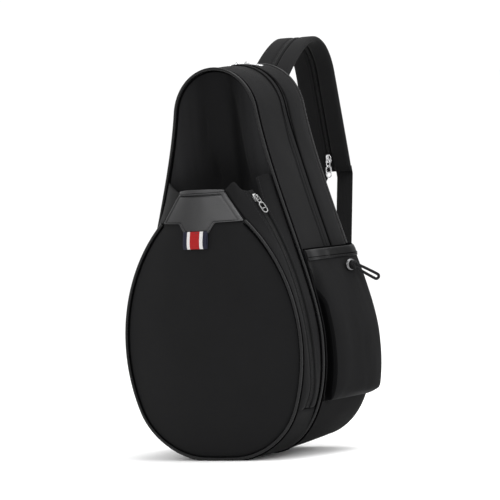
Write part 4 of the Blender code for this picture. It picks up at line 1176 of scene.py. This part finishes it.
shell("strap_root_patch", patch_grid(0, 0.4440, 0.066, 0.040, Y_BACK + 0.0022, 0.0008), 0.0018, M_STRAP, nodes=["strap_root"])
box_cross("strap_root_stitches", 0.0, 0.4400, 0.054, 0.024, Y_BACK + 0.0032)
for side, sign in (("right", 1), ("left", -1)):
    top = Vector((sign * 0.0185, Y_BACK + 0.1500, 0.3468))
    foot = Vector((sign * 0.0845, Y_BACK + 0.0085, 0.0950))
    u = (foot - top).normalized()
    v = (Vector((sign, 0, 0)) - u * u.x * sign).normalized()
    n = u.cross(v)
    full = (foot - top).length
    hang = Vector((0, STRAP_LOW[0] - STRAP_BEND[0], STRAP_LOW[1] - STRAP_BEND[1])).normalized()
    path = [top + (u if t > 0 else hang) * t for t in steps(-0.010, full, 60)]
    path += [foot + u * 0.006 + Vector((0, 0.0012, -0.0012)), foot + u * 0.009 + Vector((0, 0.0022, -0.008)), foot + Vector((sign * 0.001, -0.0040, -0.020)),
             foot + Vector((sign * 0.001, -0.0044, -0.030))]

    def strip(i, a):
        ca, sa = math.cos(a), math.sin(a)
        k = smooth(59, 62, i)
        vv = v.lerp(Vector((sign, 0, 0)), k).normalized()
        nn = n.lerp(Vector((0, math.copysign(1, n.y), 0)), k).normalized()
        return vv * math.copysign(abs(ca) ** 0.35, ca) * 0.5 * WEB_W + nn * math.copysign(abs(sa) ** 0.6, sa) * 0.5 * WEB_T

    sweep("webbing_strap_" + side, path, 20, strip, M_WEB, nodes=["webbing_" + side])
    shell("anchor_tab_cloth_" + side, patch_grid(sign * 0.0845, 0.0760, 0.034, 0.036, Y_BACK + 0.0026, 0.0008), 0.0020, M_WEB, nodes=["anchor_tab_" + side])
    box_cross("anchor_stitches_" + side, sign * 0.0845, 0.0700, 0.026, 0.018, Y_BACK + 0.0036)
    # ladder lock: rounded frame with two cross bars
    at = top + u * 0.70 * full
    m4 = Matrix.Translation(at) @ Matrix((v, n, u)).transposed().to_4x4()
    body_name = "lock_" + side
    loop = []
    for k in range(48):
        a = 2 * math.pi * k / 48
        ca, sa = math.cos(a), math.sin(a)
        loop.append(m4 @ Vector((math.copysign(abs(ca) ** 0.35, ca) * 0.0149, 0, math.copysign(abs(sa) ** 0.35, sa) * 0.0096)))

    def rail(i, a, loop=loop, m4=m4):
        t = (loop[(i + 1) % 48] - loop[i - 1]).normalized()
        up = (m4.to_3x3() @ Vector((0, 1, 0))).normalized()
        sd = t.cross(up).normalized()
        ca, sa = math.cos(a), math.sin(a)
        return sd * math.copysign(abs(ca) ** 0.6, ca) * 0.0015 + up * math.copysign(abs(sa) ** 0.6, sa) * 0.0028

    sweep("ladder_lock_" + side, loop, 14, rail, M_PLASTIC, body_name, ["adjuster_" + side], closed=True)
    for tag, zz, yy in (("bar_low", -0.0030, 0.0021), ("bar_high", 0.0040, -0.0021)):
        bar = [m4 @ Vector((x, yy, zz)) for x in steps(-0.0143, 0.0143, 9)]
        sweep("ladder_%s_%s" % (tag, side), bar, 12,
              lambda i, a, m4=m4: m4.to_3x3() @ Vector((0, math.sin(a) * 0.0009, math.copysign(abs(math.cos(a)) ** 0.6, math.cos(a)) * 0.0017)), M_PLASTIC, body_name)


# ---------------------------------------------------------------- zip sliders and pulls
def slider(name, frame_m, body_slider, body_pull, lie):
    plate = M_DULL if name == "pocket_zip" else M_METAL
    # tapered two-plate body
    outline = [(-0.0055, 0.0026), (-0.0030, 0.0036), (0.0010, 0.0038), (0.0055, 0.0030), (0.0055, -0.0030), (0.0010, -0.0038), (-0.0030, -0.0036), (-0.0055, -0.0026)]
    dense = fill_edges(rounded(outline, 0.0010, 3), 0.0012)
    prof = [(0.90, 0.0001), (0.985, 0.0004), (1.0, 0.0009), (0.93, 0.0012), (0.93, 0.0017), (1.0, 0.0020), (0.985, 0.0027), (0.90, 0.0030), (0.55, 0.0032)]
    verts, faces = [], []
    m = len(dense)
    for k, z in prof:
        verts += [frame_m @ Vector((x * k, y * k, z)) for x, y in dense]
    for q in range(len(prof) - 1):
        for j in range(m):
            faces.append((q * m + j, q * m + (j + 1) % m, (q + 1) * m + (j + 1) % m, (q + 1) * m + j))
    faces += [tuple(range(m)), tuple((len(prof) - 1) * m + j for j in range(m))]
    piece(name + "_slider_body", verts, faces, plate, body_slider, [name + "_slider"])
    arch = [Vector((0.0028 * math.cos(a) * (1.0 if abs(math.cos(a)) < 0.9 else 1.0), 0, 0.0028 + 0.0033 * math.sin(a))) for a in steps(0.0, math.pi, 17)]
    arch = [Vector((0.0027, 0, 0.0022))] + arch + [Vector((-0.0027, 0, 0.0022))]

    def strap(i, a):
        t = (arch[min(i + 1, len(arch) - 1)] - arch[max(i - 1, 0)]).normalized()
        nn = Vector((-t.z, 0, t.x))
        return frame_m.to_3x3() @ (Vector((0, math.copysign(abs(math.cos(a)) ** 0.6, math.cos(a)) * 0.0011, 0)) + nn * math.copysign(abs(math.sin(a)) ** 0.6, math.sin(a)) * 0.00045)

    sweep(name + "_slider_bridge", [frame_m @ p for p in arch], 14, strap, plate, body_slider)
    swing = frame_m @ Matrix.Translation((0, 0, 0.0042)) @ Matrix.Rotation(lie, 4, "Y")

    def loop(x0, x1, half, n=40):
        r = half
        out = []
        for k in range(n):
            a = 2 * math.pi * k / n
            ca, sa = math.cos(a), math.sin(a)
            cx = x1 - r if ca > 0 else x0 + r
            out.append(Vector((cx + r * ca, r * sa, 0)))
        return out

    eye, grip = loop(0.0, 0.0092, 0.0025), loop(0.0092, 0.0238, 0.0035)
    tube(name + "_pull_eye", [swing @ p for p in eye], 0.00068, plate, body_pull, [name + "_pull"], closed=True, res=5)

    def oval(i, a, path=None):
        p = grip
        t = (p[(i + 1) % 40] - p[i - 1]).normalized()
        sd = Vector((-t.y, t.x, 0))
        return swing.to_3x3() @ (sd * math.cos(a) * 0.00085 + Vector((0, 0, math.sin(a) * 0.00066)))

    sweep(name + "_pull_grip", [swing @ p for p in grip], 14, oval, plate, body_pull, closed=True)
    bar = [Vector((0.0176, y, 0)) for y in steps(-0.0033, 0.0033, 9)]
    sweep(name + "_pull_bar", [swing @ p for p in bar], 12,
          lambda i, a: swing.to_3x3() @ Vector((math.cos(a) * 0.00075, 0, math.sin(a) * 0.00060)), plate, body_pull)
    neck = [Vector((x, 0, 0)) for x in steps(0.0078, 0.0108, 9)]
    sweep(name + "_pull_neck", [swing @ p for p in neck], 14,
          lambda i, a: swing.to_3x3() @ Vector((0, math.cos(a), math.sin(a) * 0.62)) * (0.0011 + 0.0005 * math.sin(math.pi * i / 8)), plate, body_pull)


def on_arc(cx, cz, radius, angle, y, down):
    out = Vector((math.cos(angle), 0, math.sin(angle)))
    run = Vector((math.sin(angle), 0, -math.cos(angle))) * down
    m = Matrix((run, out.cross(run), out)).transposed().to_4x4()
    return Matrix.Translation(Vector((cx, y, cz)) + out * (radius - 0.0004)) @ m


for side, sign in (("right", 1), ("left", -1)):
    slider("main_zip_" + side, on_arc(0, ARCH_Z, ARCH_RADIUS, math.radians(90 - 6.2 * sign), ZIP_Y, sign), "main_slider_" + side, "main_pull_" + side, math.radians(4))
a = math.radians(35.2)
out = Vector((math.cos(a), 0, math.sin(a)))
run = Vector((math.sin(a), 0, -math.cos(a)))
lean = (out * math.cos(PZIP_TILT) - Vector((0, 1, 0)) * math.sin(PZIP_TILT)).normalized()
m = Matrix((run, lean.cross(run), lean)).transposed().to_4x4()
slider("pocket_zip", Matrix.Translation(Vector((PZIP_X, PZIP_Y, PZIP_Z)) + out * PZIP_R - lean * 0.0004) @ m, "pocket_slider", "pocket_pull", math.radians(2))
fall = Vector((0, STRAP_LOW[0] - STRAP_BEND[0], STRAP_LOW[1] - STRAP_BEND[1])).normalized()
low = Vector((0, Y_BACK + STRAP_LOW[0], STRAP_LOW[1])) - fall * 0.018
face = Vector((0, fall.z, -fall.y)).normalized()
m = Matrix((fall, face.cross(fall), face)).transposed().to_4x4()
slider("strap_zip", Matrix.Translation(low + face * 0.0014) @ m, "strap_slider", "strap_pull", -math.atan2(fall.y, -fall.z))

# inner boards keep their CAD shape
for nm in ("back_stiffener", "base_board"):
    ob = frame["nodes"][nm]
    ob.data.materials.clear()
    ob.data.materials.append(M_BOARD)

# ---------------------------------------------------------------- stage, light, camera
def area(name, at, to, size, power, colour=(1, 1, 1)):
    li = bpy.data.lights.new(name, "AREA")
    li.shape = "RECTANGLE"
    li.size, li.size_y = size
    li.energy = power
    li.color = colour
    ob = bpy.data.objects.new(name, li)
    ob.location = at
    ob.rotation_euler = (Vector(to) - Vector(at)).to_track_quat("-Z", "Y").to_euler()
    bpy.context.scene.collection.objects.link(ob)


me = bpy.data.meshes.new("floor")
me.from_pydata([(-40, -40, -0.0005), (40, -40, -0.0005), (40, 40, -0.0005), (-40, 40, -0.0005)], [], [(0, 1, 2, 3)])
floor = bpy.data.objects.new("floor", me)
bpy.context.scene.collection.objects.link(floor)
mat, nt, b = material("floor", (0.97, 0.97, 0.97), 0.8, spec=0.1)
me.materials.append(mat)

world = bpy.data.worlds.new("studio")
bpy.context.scene.world = world
world.use_nodes = True
bg = world.node_tree.nodes["Background"]
bg.inputs["Color"].default_value = (1.0, 1.0, 1.0, 1.0)
bg.inputs["Strength"].default_value = 1.06
bpy.context.scene.view_settings.view_transform = "Standard"
bpy.context.scene.view_settings.look = "None"
area("top", (0.5, 0.1, 1.9), (0, 0, 0.3), (1.6, 1.6), 32)
area("right", (2.2, -0.2, 1.0), (0, 0, 0.3), (1.2, 1.6), 22)
area("front", (0.2, -2.5, 1.3), (0, 0, 0.25), (1.4, 1.4), 16)

AZ, EL, ROLL, DIST, PX = math.radians(35.0), math.radians(2.88), math.radians(4.22), 5.084, 800.2
back = Vector((math.sin(AZ) * math.cos(EL), -math.cos(AZ) * math.cos(EL), math.sin(EL)))
right = Vector((math.cos(AZ), math.sin(AZ), 0))
up = back.cross(right)
r2 = right * math.cos(ROLL) - up * math.sin(ROLL)
u2 = right * math.sin(ROLL) + up * math.cos(ROLL)
cam = bpy.data.cameras.new("camera")
cam.sensor_width = 36.0
cam.lens = 36.0 * PX * DIST / 500.0
cam.clip_end = 200.0
ob = bpy.data.objects.new("camera", cam)
target = Vector((0, 0.03 + Y_FRONT, 0.26 - GROUND))
at = target + back * DIST + r2 * ((250 - 240.9) / PX) + u2 * ((257.0 - 250) / PX)
ob.matrix_world = Matrix.Translation(at) @ Matrix((r2, u2, back)).transposed().to_4x4()
bpy.context.scene.collection.objects.link(ob)
bpy.context.scene.camera = ob
